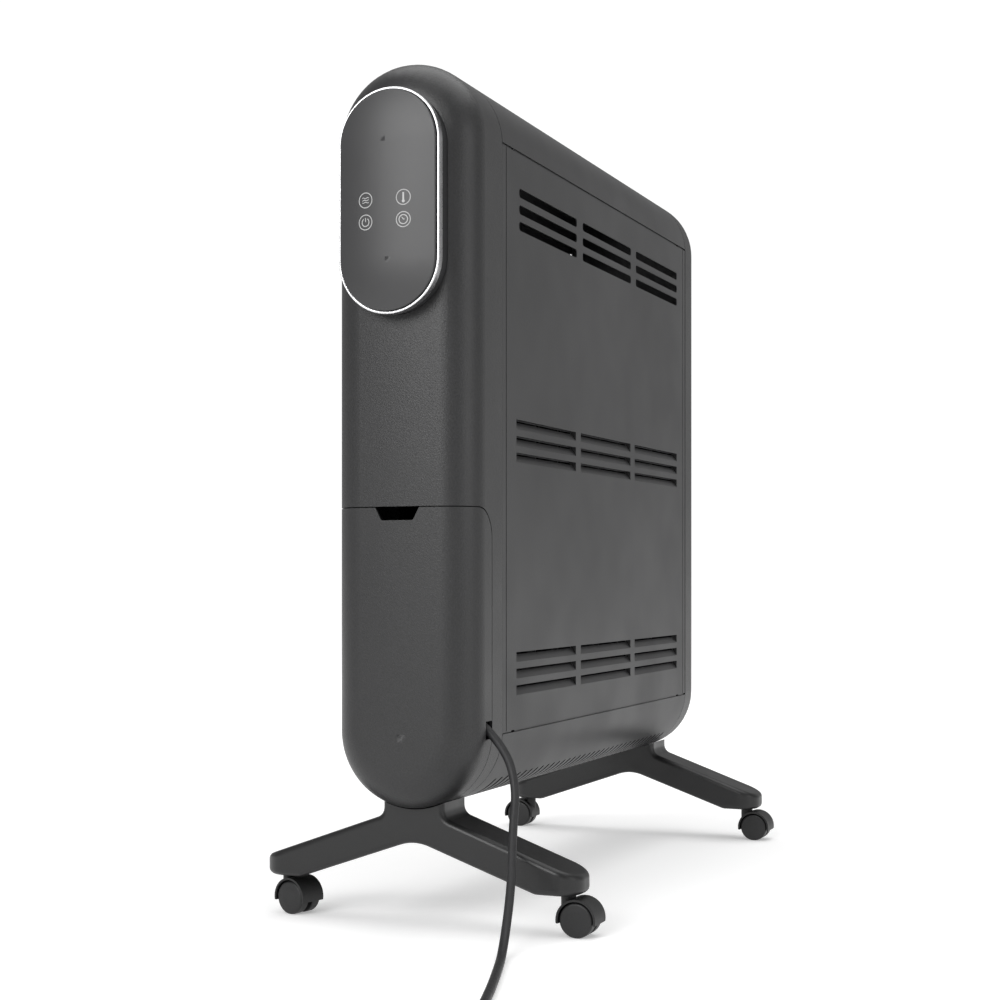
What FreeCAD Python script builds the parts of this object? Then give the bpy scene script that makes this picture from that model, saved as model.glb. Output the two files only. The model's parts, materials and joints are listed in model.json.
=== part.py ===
import FreeCAD, Part
import math
import os
import re
import Sketcher
from FreeCAD import Rotation, Vector

# An oil filled radiator heater on four castors, in millimetres.
# X runs across the body, Y along it and Z up. The control end faces -Y.
# The body is drawn with Y = 0 at the joint between the front cap and the sheet
# covers, and every sub-part is then placed so that the origin is below the middle.

SIZES = (
    # the casing
    ("body_width", 124.6, "casing, across X"),
    ("body_height", 600.0, "casing, along Z"),
    ("body_lift", 96.2, "floor to the underside of the casing"),
    ("panel_length", 509.0, "sheet covers, between the two caps"),
    ("cap_wall", 2.5, "moulded walls"),
    ("sheet_wall", 1.0, "steel sheet"),
    ("cap_gap", 0.8, "joint between a cap and the covers"),
    ("front_side", 35.5, "front cap, straight side"),
    ("front_round", 31.0, "front cap, edge radius"),
    ("rear_side", 20.0, "rear cap, straight side"),
    ("rear_round", 24.0, "rear cap, edge radius"),
    ("crown_radius", 400.0, "slight crown of both caps"),
    ("boss_width", 10.0, "screw bosses in the caps"),
    ("boss_length", 26.0, "screw bosses in the caps"),
    ("boss_spread", "body_height * 265 / 600", "screw bosses, along Z"),
    ("boss_middle", "body_lift + 0.663 * body_height", "height of the middle of the screw bosses"),
    # the cord door and its bay
    ("door_height", 243.0, "cord door, up from the underside of the casing"),
    ("door_setback", 21.0, "cord door edge, forward of the cap joint"),
    ("door_corner", 25.0, "cord door, corner radius"),
    ("door_gap", 0.8, "gap round the cord door"),
    ("notch_width", 39.5, "finger notch, at the door's top edge"),
    ("notch_floor", 28.0, "finger notch, at its floor"),
    ("notch_depth", 11.0, "finger notch"),
    ("exit_low", 57.2, "cord exit, above the underside of the casing"),
    ("exit_height", 14.6, "cord exit"),
    ("exit_depth", 13.0, "cord exit, into the door's edge"),
    ("bay_clearance", 2.0, "cord bay liner to the cap's inside"),
    ("bay_back", 17.5, "back of the cord bay, forward of the cap joint"),
    ("bay_front", 45.0, "rim of the cord bay, forward of the cap joint"),
    ("bay_top", 15.0, "top of the cord bay, below the door's top edge"),
    # the touch control
    ("control_width", 87.8, "metal ring, outside"),
    ("control_height", 178.2, "metal ring, outside"),
    ("control_drop", 117.5, "middle of the ring, below the top of the casing"),
    ("ring_wall", 2.0, "metal ring, wall"),
    ("ring_depth", 6.3, "metal ring, depth"),
    ("ring_standoff", 14.7, "ring's lip, forward of the cap"),
    ("ring_edge", 0.6, "metal ring, edge radius"),
    ("glass_gap", 0.3, "glass to ring"),
    ("glass_proud", 2.1, "edge of the glass, forward of the ring's lip"),
    ("glass_edge", 0.8, "glass, edge radius"),
    ("glass_radius", 209.0, "glass, dome of its face"),
    ("tray_inset", 1.5, "backing tray, in from the ring's outside"),
    ("tray_wall", 2.5, "backing tray"),
    ("tray_sink", 12.0, "backing tray, behind the cap's face"),
    ("board_wall", 1.6, "circuit boards"),
    ("fit_gap", 0.3, "clearance of fixed pieces"),
    ("running_gap", 0.05, "radial clearance of shafts that turn"),
    # the tilt switch
    ("tilt_place", 34.0, "tilt switch, from the middle"),
    ("tilt_width", 32.0, "tilt switch"),
    ("tilt_depth", 20.0, "tilt switch"),
    ("tilt_height", 38.0, "tilt switch"),
    ("tilt_wall", 2.0, "tilt switch"),
    ("tilt_pin", 1.5, "pendulum's pin, radius"),
    ("tilt_hub", 3.5, "pendulum's hub, radius"),
    ("tilt_arm", 18.0, "pin to the middle of the weight"),
    ("tilt_weight", 5.5, "pendulum's weight, radius"),
    # the covers and side panels
    ("panel_height", 479.0, "side panels"),
    ("panel_gap", 1.8, "side panel to the top and bottom covers"),
    ("panel_recess", 0.3, "side panels, set in from the covers"),
    ("crease_inset", 8.0, "pressed line along each upright panel edge"),
    ("crease_width", 1.2, "pressed line"),
    ("crease_depth", 0.4, "pressed line"),
    ("vent_start", 25.0, "first cross slot in the covers"),
    ("vent_pitch", 13.5, "cross slots in the covers"),
    ("vent_width", 4.5, "cross slots in the covers"),
    ("vent_round", 1.5, "cross slots, corner radius"),
    ("top_reach", 23.8, "cross slots in the top cover, out to each side"),
    ("low_inner", 16.4, "cross slots in the bottom cover, from the middle"),
    ("low_outer", 44.9, "cross slots in the bottom cover, out to each side"),
    ("group_spacing", 193.4, "slot group to louvre group, along Z"),
    ("row_pitch", 13.8, "slot and louvre rows"),
    ("slot_start", 36.6, "first slot column"),
    ("slot_length", 137.5, "open slots"),
    ("slot_height", 7.6, "open slots"),
    ("slot_round", 3.0, "open slots, corner radius"),
    ("slot_pitch", 152.6, "slot columns"),
    ("louvre_start", 30.4, "first louvre column"),
    ("louvre_length", 141.0, "louvres"),
    ("louvre_height", 8.1, "louvres"),
    ("louvre_pitch", 153.7, "louvre columns"),
    ("louvre_depth", 5.0, "louvres, at their upper edge"),
    ("louvre_slit", 2.2, "open slit along a louvre's upper edge"),
    # the steel inside
    ("bulkhead_rim", 22.0, "bulkheads, depth"),
    ("bulkhead_wall", 1.2, "bulkheads"),
    ("column_inset", 62.0, "first column, behind the cap joint"),
    ("column_pitch", 55.0, "columns"),
    ("column_width", 88.0, "columns, across X"),
    ("column_plate", 1.6, "web of a column"),
    ("column_tube", 9.0, "upright passages of a column, radius"),
    ("column_low", 118.0, "lower header, above the underside of the casing"),
    ("column_high", 462.0, "upper header, above the underside of the casing"),
    ("header_radius", 17.0, "headers"),
    ("header_bore", 12.0, "lower header, bore for the element"),
    ("header_end", 24.0, "headers, from the covers' ends"),
    ("stud_radius", 5.0, "header studs"),
    ("nut_radius", 9.0, "header nuts"),
    ("nut_height", 5.0, "header nuts"),
    ("element_radius", 4.0, "heating element"),
    ("element_spread", 5.5, "legs of the element, from its middle"),
    ("element_length", 400.0, "heating element, inside the header"),
    ("flange_radius", 22.0, "element flange"),
    ("flange_wall", 4.0, "element flange"),
    ("gasket_wall", 1.5, "element gasket"),
    # the castors
    ("caster_reach", 126.0, "castor stems, from the middle"),
    ("caster_trail", 10.0, "wheel axle, from the stem"),
    ("wheel_radius", 14.0, "castor wheels"),
    ("wheel_width", 9.0, "castor wheels"),
    ("wheel_edge", 1.0, "rounding at a wheel's inner edge"),
    ("wheel_round", 2.2, "rounding at a wheel's outer rim"),
    ("wheel_crown", 0.6, "dome of a wheel's face"),
    ("wheel_face", 2.0, "wheel's face, over the end of its axle"),
    ("wheel_side_gap", 0.35, "wheel to web"),
    ("web_width", 4.4, "middle web of a castor hood"),
    ("wheel_gap", 0.9, "wheel to hood"),
    ("hood_radius", "wheel_radius + wheel_gap + 1.7", "castor hoods"),
    ("hood_width", "web_width + 2 * (wheel_side_gap + wheel_width + wheel_crown) + 0.3", "castor hoods"),
    ("hood_skirt", 3.0, "hood, below the axle"),
    ("axle_radius", 2.5, "castor axles"),
    ("hub_radius", 5.0, "boss round the axle"),
    ("boss_radius", 6.0, "boss round the stem"),
    ("boss_top", "wheel_radius + hood_radius + 1.4", "floor to the top of the stem's boss"),
    ("stem_radius", 3.5, "castor stem, in the boss"),
    ("stem_low", "wheel_radius + sqrt((wheel_radius + wheel_gap)^2 - (caster_trail - stem_radius)^2)",
     "floor to the stem's lower end"),
    ("collar_radius", 5.4, "castor stem, collar"),
    ("shank_radius", 4.5, "castor stem, in the foot"),
    # the feet
    ("foot_span", 282.0, "feet, across X"),
    ("foot_width", 47.0, "feet, along Y"),
    ("foot_corner", 20.0, "feet, corner radius from above"),
    ("foot_ahead", 16.3, "front foot's middle, forward of the cap joint"),
    ("foot_behind", 18.3, "rear foot's middle, behind the cap joint"),
    ("foot_clear", "boss_top + 1.6", "floor to the feet at their ends"),
    ("foot_flat", 36.0, "flat length under each end"),
    ("foot_arch", "body_lift - 26", "floor to the underside at the middle"),
    ("foot_tip", "foot_clear + 15.1", "floor to the top at the ends"),
    ("foot_shoulder", "body_lift - 6.5", "floor to the top at the neck"),
    ("foot_neck", 27.0, "neck, half of its width"),
    ("foot_edge", 5.0, "feet, upper edge radius"),
    ("saddle_gap", 0.5, "neck to the casing"),
    ("bolt_spread", 15.0, "foot bolts, from the middle"),
    ("bolt_place", 9.0, "foot bolts, from the cap joint"),
    ("bolt_radius", 3.0, "foot bolts"),
    ("bolt_head", 5.5, "foot bolts, head radius"),
    ("bracket_top", 16.0, "foot brackets, above the underside of the casing"),
    ("shank_top", "foot_clear + 11.9", "floor to the stem's upper end"),
    # the cord and its plug
    ("cord_radius", 3.5, "mains lead"),
    ("turn_radius", 39.0, "middle turn of the coil"),
    ("coil_width", 21.0, "coil, across its turns"),
    ("coil_height", 14.0, "coil"),
    ("tie_wall", 0.8, "tie round the coil"),
    ("tie_width", 8.0, "tie round the coil"),
    ("gland_radius", 7.0, "gland, at the liner"),
    ("gland_length", 24.0, "gland"),
    ("gland_lip", 1.6, "gland's thin end, over the cord"),
    ("plug_radius", 18.0, "plug"),
    ("plug_face", 48.0, "plug's face, from the end of the cord"),
    ("plug_disc", 14.0, "plug, behind its face"),
    ("grip_start", 18.0, "plug's grip, from the end of the cord"),
    ("grip_end", 36.0, "plug's grip, from the end of the cord"),
    ("boot_length", 20.0, "plug's boot"),
    ("pin_hold", 4.0, "plug pins, held in the plug"),
    ("plug_grip", 11.0, "plug's grip"),
    ("boot_radius", 5.5, "plug's boot"),
    ("pin_radius", 2.4, "plug pins"),
    ("pin_length", 19.0, "plug pins"),
    ("pin_spacing", 19.0, "plug pins"),
    ("pin_root", 2.0, "plug pins, radius where they are held"),
)

# Places worked out from the sizes. Distances forward of the front joint are positive.
PLACES = (
    ("front_depth", "front_side + crown_radius"
                    " - sqrt((crown_radius - front_round)^2 - (body_width / 2 - front_round)^2)"),
    ("rear_depth", "rear_side + crown_radius"
                   " - sqrt((crown_radius - rear_round)^2 - (body_width / 2 - rear_round)^2)"),
    ("ring_lip", "front_depth + ring_standoff"),
    ("ring_back", "ring_lip - ring_depth"),
    ("glass_half", "control_width / 2 - ring_wall - glass_gap"),
    ("glass_rim", "ring_lip + glass_proud"),
    ("glass_face", "glass_rim + glass_radius - sqrt(glass_radius^2 - glass_half^2)"),
    ("joint_place", "(glass_face - panel_length - rear_depth) / 2"),
    ("half_width", "body_width / 2"),
    ("inner_half", "body_width / 2 - panel_recess - sheet_wall"),
    ("middle", "body_lift + body_height / 2"),
    ("upper_centre", "body_lift + body_height - body_width / 2"),
    ("lower_centre", "body_lift + body_width / 2"),
    ("panel_low", "middle - panel_height / 2"),
    ("panel_high", "middle + panel_height / 2"),
    ("door_top", "body_lift + door_height"),
    ("control_middle", "body_lift + body_height - control_drop"),
    ("control_low", "control_middle - (control_height - control_width) / 2"),
    ("control_high", "control_middle + (control_height - control_width) / 2"),
    ("rim_half", "inner_half - 0.1"),
    ("lower_header", "body_lift + column_low"),
    ("upper_header", "body_lift + column_high"),
    ("bracket_high", "body_lift + bracket_top"),
    ("rear_end", "panel_length - header_end"),
)

VENTS = 35
COLUMNS = 8
# castor: across, along, swivel angle of its trail from +X; the front left one is a little turned
CASTERS = {
    "caster_front_right": ("caster_reach", "-foot_ahead", "0"),
    "caster_front_left": ("-caster_reach", "-foot_ahead", "-14.3"),
    "caster_rear_right": ("caster_reach", "panel_length + foot_behind", "0"),
    "caster_rear_left": ("-caster_reach", "panel_length + foot_behind", "180"),
}

# The cord's route, from its gland to the coil, and from the coil to the plug.
CORD_ROUTE = (
    ("half_width - 6.7", "joint_place - 27.628", "body_lift + 69.4"),
    ("half_width + 12.7", "joint_place - 25.928", "body_lift + 52"),
    ("half_width + 25.7", "joint_place - 31.928", "body_lift + 21.5"),
    ("half_width + 29.5", "joint_place - 49.928", "body_lift - 13.5"),
    ("half_width + 38.7", "joint_place - 73.928", "body_lift / 2 - 2.1"),
    ("half_width + 46.7", "joint_place - 109.928", "cord_radius"),
    ("half_width + 64.7", "joint_place - 171.928", "cord_radius"),
    ("half_width + 85.7", "joint_place - 226.928", "cord_radius"),
    ("half_width + 103.2", "joint_place - 299.928", "cord_radius"),
    ("half_width + 122.1", "joint_place - 362.928", "cord_radius"),
)
TAIL_ROUTE = (
    ("half_width + 91.2", "joint_place - 420.228", "tie_wall + coil_height - cord_radius"),
    ("half_width + 60.5", "joint_place - 429.428", "plug_radius - 4.5"),
    ("half_width + 32.2", "joint_place - 436.428", "plug_radius + 0.2"),
)
COIL_CENTRE = ("half_width + 78", "joint_place - 376.128")
PLUG_TURN = "193.9"

doc = FreeCAD.newDocument("Heater")
sheet = doc.addObject("Spreadsheet::Sheet", "Sizes")
for row, (alias, amount_mm, note) in enumerate(SIZES, 1):
    sheet.set(f"A{row}", note)
    sheet.set(f"B{row}", f"={amount_mm}")
    sheet.setAlias(f"B{row}", alias)
doc.recompute()
places = doc.addObject("App::VarSet", "Places")
gauge = doc.addObject("App::VarSet", "Gauge")
gauge.addProperty("App::PropertyFloat", "amount")
OWNER = {alias: "Sizes" for alias, _, _ in SIZES}
OWNER.update({name: "Places" for name, _ in PLACES})


def tied(text):
    """The expression, with each name pointed at the cell or place that holds it."""
    def owned(word):
        return f"{OWNER[word.group()]}.{word.group()}" if word.group() in OWNER else word.group()
    return re.sub(r"[a-z_]+", owned, text)


def amount(text):
    """What an expression of sizes comes to, in millimetres."""
    gauge.setExpression("amount", tied(text))
    gauge.recompute()
    return gauge.amount


def spot(texts):
    """A point of the cord's route."""
    return Vector(*(amount(text) for text in texts))


for place_name, place_text in PLACES:
    places.addProperty("App::PropertyFloat", place_name)
    places.setExpression(place_name, tied(place_text))
    places.recompute()

subparts = []


# ---------------------------------------------------------------- helpers

def place(thing, x="0", y="0", z="0", turn="0"):
    """Places a thing by expressions, turned about Z by an angle in degrees."""
    for axis, text in zip("xyz", (x, y, z)):
        thing.setExpression(f"Placement.Base.{axis}", tied(text))
    if turn != "0":
        thing.setExpression("Placement.Rotation.Angle", tied(turn))
    return thing


def finish(thing, label, x="0", y="0", z="0", turn="0"):
    """Names a sub-part and places it in the heater's frame."""
    if thing.TypeId in ("Part::Box", "Part::Cylinder"):
        thing = group(thing)
    thing.Label = label
    place(thing, x, f"joint_place + {y}", z, turn)
    subparts.append(thing)
    return thing


def box(x, y, z):
    """A box between two expressions on each axis."""
    solid = doc.addObject("Part::Box", "Box")
    for side, (low, high) in zip(("Length", "Width", "Height"), (x, y, z)):
        solid.setExpression(side, tied(f"({high}) - ({low})"))
    return place(solid, x[0], y[0], z[0])


def cylinder(radius, low, high, axis="Z", at=("0", "0")):
    """A cylinder along an axis; at gives its place on the other two axes, in order."""
    solid = doc.addObject("Part::Cylinder", "Cylinder")
    solid.setExpression("Radius", tied(radius))
    solid.setExpression("Height", tied(f"({high}) - ({low})"))
    if axis == "X":
        solid.Placement = FreeCAD.Placement(Vector(), Rotation(Vector(0, 1, 0), 90))
        return place(solid, low, at[0], at[1])
    if axis == "Y":
        solid.Placement = FreeCAD.Placement(Vector(), Rotation(Vector(1, 0, 0), -90))
        return place(solid, at[0], low, at[1])
    return place(solid, at[0], at[1], low)


def fuse(*things):
    """One solid of several that overlap."""
    whole = doc.addObject("Part::MultiFuse", "Fuse")
    whole.Shapes = list(things)
    whole.Refine = True
    return whole


def group(*things):
    """Separate solids kept together as one sub-part."""
    whole = doc.addObject("Part::Compound", "Group")
    whole.Links = list(things)
    return whole


def cut(base, *tools):
    """A solid with others taken away."""
    left = doc.addObject("Part::Cut", "Cut")
    left.Base = base
    left.Tool = tools[0] if len(tools) == 1 else fuse(*tools)
    return left


def common(first, second):
    """What two solids share."""
    shared = doc.addObject("Part::Common", "Common")
    shared.Base = first
    shared.Tool = second
    return shared


def new_body():
    return doc.addObject("PartDesign::Body", "Body")


def plane_of(body, plane):
    return next(item for item in body.Origin.OriginFeatures if item.Role == plane + "_Plane")


def new_sketch(body, plane, offset="0"):
    """A sketch on one of the body's origin planes, moved along the plane's normal."""
    sketch = body.newObject("Sketcher::SketchObject", "Sketch")
    sketch.AttachmentSupport = [(plane_of(body, plane), "")]
    sketch.MapMode = "FlatFace"
    sketch.setExpression("AttachmentOffset.Base.z", tied(offset))
    return sketch


def constrain(sketch, kind, *data, to=None):
    """Adds a constraint, bound to an expression where it has a size."""
    if to is None:
        sketch.addConstraint(Sketcher.Constraint(kind, *data))
        return
    index = sketch.addConstraint(Sketcher.Constraint(kind, *data, amount(to)))
    sketch.setExpression(f"Constraints[{index}]", tied(to))


def pin(sketch, geometry, position, x, y):
    """Holds a point of a sketch at x and y."""
    constrain(sketch, "DistanceX", -1, 1, geometry, position, to=x)
    constrain(sketch, "DistanceY", -1, 1, geometry, position, to=y)


def outline(sketch, corners):
    """Draws a closed outline. A corner is (x, y), or (x, y, radius) where it is rounded."""
    spots = [Vector(amount(corner[0]), amount(corner[1]), 0) for corner in corners]
    radii = [amount(corner[2]) if len(corner) == 3 else 0 for corner in corners]
    count = len(corners)
    starts, ends, turns = [], [], []
    for i, spot in enumerate(spots):
        before = (spots[i - 1] - spot).normalize()
        after = (spots[(i + 1) % count] - spot).normalize()
        half = before.getAngle(after) / 2
        reach = radii[i] / math.tan(half)
        ends.append(spot + before * reach)
        starts.append(spot + after * reach)
        turns.append(before.cross(after).z < 0)
    first = sketch.addGeometry(
        [Part.LineSegment(starts[i], ends[(i + 1) % count]) for i in range(count)])[0]
    for i, corner in enumerate(corners):
        incoming = first + (i - 1) % count
        outgoing = first + i
        if not radii[i]:
            constrain(sketch, "Coincident", incoming, 2, outgoing, 1)
            pin(sketch, outgoing, 1, corner[0], corner[1])
            continue
        middle = (ends[i] + starts[i]) * 0.5
        inward = (middle - spots[i]).normalize()
        reach = (ends[i] - spots[i]).Length
        centre = spots[i] + inward * math.hypot(reach, radii[i])
        opening, closing = (ends[i], starts[i]) if turns[i] else (starts[i], ends[i])
        angles = [math.atan2(spot.y - centre.y, spot.x - centre.x) for spot in (opening, closing)]
        circle = Part.Circle(centre, Vector(0, 0, 1), radii[i])
        arc = sketch.addGeometry(Part.ArcOfCircle(circle, *angles))
        constrain(sketch, "Tangent", incoming, 2, arc, 1 if turns[i] else 2)
        constrain(sketch, "Tangent", arc, 2 if turns[i] else 1, outgoing, 1)
        constrain(sketch, "Radius", arc, to=corner[2])
        tip = sketch.addGeometry(Part.Point(spots[i]), True)
        pin(sketch, tip, 1, corner[0], corner[1])
        constrain(sketch, "PointOnObject", tip, 1, incoming)
        constrain(sketch, "PointOnObject", tip, 1, outgoing)


def stadium(sketch, width, height, middle):
    """Draws an upright stadium about X = 0."""
    radius = amount(f"({width}) / 2")
    top = f"({middle}) + (({height}) - ({width})) / 2"
    bottom = f"({middle}) - (({height}) - ({width})) / 2"
    high = Vector(0, amount(top), 0)
    low = Vector(0, amount(bottom), 0)
    normal = Vector(0, 0, 1)
    aside = Vector(radius, 0, 0)
    first = sketch.addGeometry([
        Part.ArcOfCircle(Part.Circle(high, normal, radius), 0, math.pi),
        Part.LineSegment(high - aside, low - aside),
        Part.ArcOfCircle(Part.Circle(low, normal, radius), math.pi, 2 * math.pi),
        Part.LineSegment(low + aside, high + aside),
    ])[0]
    for i in range(4):
        constrain(sketch, "Tangent", first + i, 2, first + (i + 1) % 4, 1)
    constrain(sketch, "Equal", first, first + 2)
    constrain(sketch, "Radius", first, to=f"({width}) / 2")
    pin(sketch, first, 3, "0", top)
    pin(sketch, first + 2, 3, "0", bottom)


def pad(body, sketch, length):
    """Raises a sketch along its plane's normal."""
    feature = body.newObject("PartDesign::Pad", "Pad")
    feature.Profile = sketch
    feature.setExpression("Length", tied(length))
    return feature


def pocket(body, sketch, length, along=False):
    """Cuts a sketch into the body, against its plane's normal or along it."""
    feature = body.newObject("PartDesign::Pocket", "Pocket")
    feature.Profile = sketch
    feature.setExpression("Length", tied(length))
    feature.Reversed = along
    return feature


def repeat(body, features, sketch, axis, length, count):
    """Repeats features along a sketch axis; length is from the first to the last."""
    pattern = body.newObject("PartDesign::LinearPattern", "Pattern")
    pattern.Originals = features
    pattern.Direction = (sketch, [axis])
    pattern.setExpression("Length", tied(length))
    pattern.Occurrences = count
    body.Tip = pattern
    return pattern


def prism(plane, low, high, *corner_lists):
    """A body of outlines raised between two distances along a plane's normal."""
    body = new_body()
    sketch = new_sketch(body, plane, low)
    for corners in corner_lists:
        outline(sketch, corners)
    pad(body, sketch, f"({high}) - ({low})")
    return body


def stadium_prism(low, high, width, height, middle, inner=None):
    """A stadium, or a stadium ring, between two distances forward of the joint."""
    body = new_body()
    sketch = new_sketch(body, "XZ", low)
    stadium(sketch, width, height, middle)
    if inner:
        stadium(sketch, f"({width}) - 2 * ({inner})", f"({height}) - 2 * ({inner})", middle)
    pad(body, sketch, f"({high}) - ({low})")
    return body


def rectangle(x, y, radius=None):
    """Corners of a rectangle between two expressions on each axis."""
    corners = ((x[0], y[0]), (x[1], y[0]), (x[1], y[1]), (x[0], y[1]))
    return tuple(corner + (radius,) for corner in corners) if radius else corners


def round_edges(body, radius, chosen):
    """Rounds the edges of a body that a test picks."""
    doc.recompute()
    names = [f"Edge{i}" for i, edge in enumerate(body.Shape.Edges, 1) if chosen(edge)]
    sharp = body.Tip
    feature = body.newObject("PartDesign::Fillet", "Fillet")
    feature.Base = (sharp, names)
    feature.setExpression("Radius", tied(radius))
    body.Tip = feature


def level_with(forward):
    """A test for the edges that lie all at one distance forward of the joint."""
    level = -amount(forward)
    return lambda edge: abs(edge.BoundBox.YMin - level) < 0.01 and edge.BoundBox.YLength < 0.01


# ---------------------------------------------------------------- the caps

def cap_section(sketch, side, edge):
    """Half of a cap's wall seen from above: side, rounded edge and crowned end."""
    half, depth = amount("half_width"), amount(side)
    radius, wall, crown = amount(edge), amount("cap_wall"), amount("crown_radius")
    bend = Vector(half - radius, -depth, 0)
    middle = Vector(0, -depth + math.sqrt((crown - radius) ** 2 - bend.x ** 2), 0)
    outward = (bend - middle).normalize()
    angle = math.atan2(outward.y, outward.x)
    normal = Vector(0, 0, 1)
    front = middle.y - crown
    parts = sketch.addGeometry([
        Part.LineSegment(Vector(half, 0, 0), Vector(half, -depth, 0)),
        Part.ArcOfCircle(Part.Circle(bend, normal, radius), angle, 0),
        Part.ArcOfCircle(Part.Circle(middle, normal, crown), -math.pi / 2, angle),
        Part.LineSegment(Vector(0, front, 0), Vector(0, front + wall, 0)),
        Part.ArcOfCircle(Part.Circle(middle, normal, crown - wall), -math.pi / 2, angle),
        Part.ArcOfCircle(Part.Circle(bend, normal, radius - wall), angle, 0),
        Part.LineSegment(Vector(half - wall, -depth, 0), Vector(half - wall, 0, 0)),
        Part.LineSegment(Vector(half - wall, 0, 0), Vector(half, 0, 0)),
    ])
    outer, bend_out, crown_out, apex, crown_in, bend_in, inner, rim = parts
    constrain(sketch, "Tangent", outer, 2, bend_out, 2)
    constrain(sketch, "Tangent", bend_out, 1, crown_out, 2)
    constrain(sketch, "Coincident", crown_out, 1, apex, 1)
    constrain(sketch, "Coincident", apex, 2, crown_in, 1)
    constrain(sketch, "Tangent", crown_in, 2, bend_in, 1)
    constrain(sketch, "Tangent", bend_in, 2, inner, 1)
    constrain(sketch, "Coincident", inner, 2, rim, 1)
    constrain(sketch, "Coincident", rim, 2, outer, 1)
    constrain(sketch, "Coincident", bend_out, 3, bend_in, 3)
    constrain(sketch, "Coincident", crown_out, 3, crown_in, 3)
    constrain(sketch, "Vertical", outer)
    constrain(sketch, "Vertical", inner)
    constrain(sketch, "Horizontal", rim)
    pin(sketch, bend_out, 3, f"half_width - {edge}", f"-{side}")
    constrain(sketch, "PointOnObject", crown_out, 3, -2)
    constrain(sketch, "PointOnObject", apex, 1, -2)
    constrain(sketch, "PointOnObject", apex, 2, -2)
    constrain(sketch, "DistanceY", -1, 1, outer, 1, to="-cap_gap / 2")
    constrain(sketch, "Radius", bend_out, to=edge)
    constrain(sketch, "Radius", crown_out, to="crown_radius")
    constrain(sketch, "Radius", bend_in, to=f"{edge} - cap_wall")


def stadium_turned(section, lower, upper):
    """A half section raised between two heights, mirrored, and turned about its axis at both ends."""
    body = new_body()
    low = new_sketch(body, "XY", lower)
    section(low)
    middle = pad(body, low, f"{upper} - {lower}")
    mirrored = body.newObject("PartDesign::Mirrored", "Mirrored")
    mirrored.Originals = [middle]
    mirrored.MirrorPlane = (plane_of(body, "YZ"), [""])
    body.Tip = mirrored
    high = new_sketch(body, "XY", upper)
    section(high)
    for sketch, upward in ((low, False), (high, True)):
        end = body.newObject("PartDesign::Revolution", "End")
        end.Profile = sketch
        end.ReferenceAxis = (sketch, ["V_Axis"])
        end.Angle = 180
        end.Reversed = upward
    return body


def cap_shell(side, edge):
    """A cap's shell."""
    return stadium_turned(lambda sketch: cap_section(sketch, side, edge), "lower_centre", "upper_centre")


BOSS_ROWS = ("boss_middle - boss_spread / 2", "boss_middle + boss_spread / 2")


def cap_bosses():
    """Blocks inside a cap's side walls that the bulkhead is screwed to."""
    blocks = []
    for row in BOSS_ROWS:
        for x in (("half_width - boss_width - cap_wall", "half_width - cap_wall / 2"),
                  ("cap_wall / 2 - half_width", "cap_wall + boss_width - half_width")):
            z = (f"{row} - boss_width / 2", f"{row} + boss_width / 2")
            blocks.append(box(x, ("-boss_length", "0"), z))
    return blocks


def boss_holes(radius, low, high):
    """Cylinders along Y at the four boss screws."""
    return [cylinder(radius, low, high, "Y", (f"{sign}(half_width - cap_wall - boss_width / 2)", row))
            for row in BOSS_ROWS for sign in ("", "-")]


def door_block(gap):
    """The space of the cord door, seen from the side."""
    return prism("YZ", "-body_width", "body_width", (
        ("-2 * front_depth", "body_lift - 20"),
        (f"-door_setback - {gap}", "body_lift - 20"),
        (f"-door_setback - {gap}", f"door_top - {gap}", "door_corner"),
        ("-2 * front_depth", f"door_top - {gap}"),
    ))


def foot_holes(low, high, y):
    """Cylinders for a foot's two bolts."""
    return [cylinder("bolt_radius + fit_gap", low, high, "Z", (x, y)) for x in ("bolt_spread", "-bolt_spread")]


def front_caps():
    """The front cap and the cord door that continues it."""
    shell = cap_shell("front_side", "front_round")
    opening = stadium_prism("ring_back - 30", "ring_back + 20", "control_width - 2 * tray_inset + 2 * fit_gap",
                            "control_height - 2 * tray_inset + 2 * fit_gap", "control_middle")
    body = fuse(cut(shell, door_block("0"), opening), *cap_bosses())
    cap = cut(body, *boss_holes("1.75", "-boss_length + 4", "1"),
              *foot_holes("body_lift - 5", "lower_centre", "-bolt_place"))
    finish(cap, "front_cap")
    notch = prism("XZ", "0", "2 * front_depth", (
        ("-notch_width / 2", "door_top"),
        ("-notch_floor / 2", "door_top - notch_depth", "2.5"),
        ("notch_floor / 2", "door_top - notch_depth", "2.5"),
        ("notch_width / 2", "door_top"),
        ("notch_width / 2", "door_top + 5"),
        ("-notch_width / 2", "door_top + 5"),
    ))
    cord_exit = box(("half_width - 20", "half_width + 5"), ("-door_setback - exit_depth", "0"),
                    ("body_lift + exit_low", "body_lift + exit_low + exit_height"))
    finish(cut(common(shell, door_block("door_gap")), notch, cord_exit), "cord_door")


def rear_cap():
    """The cap at the far end, the same way up and turned round."""
    body = fuse(cap_shell("rear_side", "rear_round"), *cap_bosses())
    cap = cut(body, *boss_holes("1.75", "-boss_length + 4", "1"),
              *foot_holes("body_lift - 5", "lower_centre", "-bolt_place"))
    finish(cap, "rear_cap", y="panel_length", turn="180")


# ---------------------------------------------------------------- the covers

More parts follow.
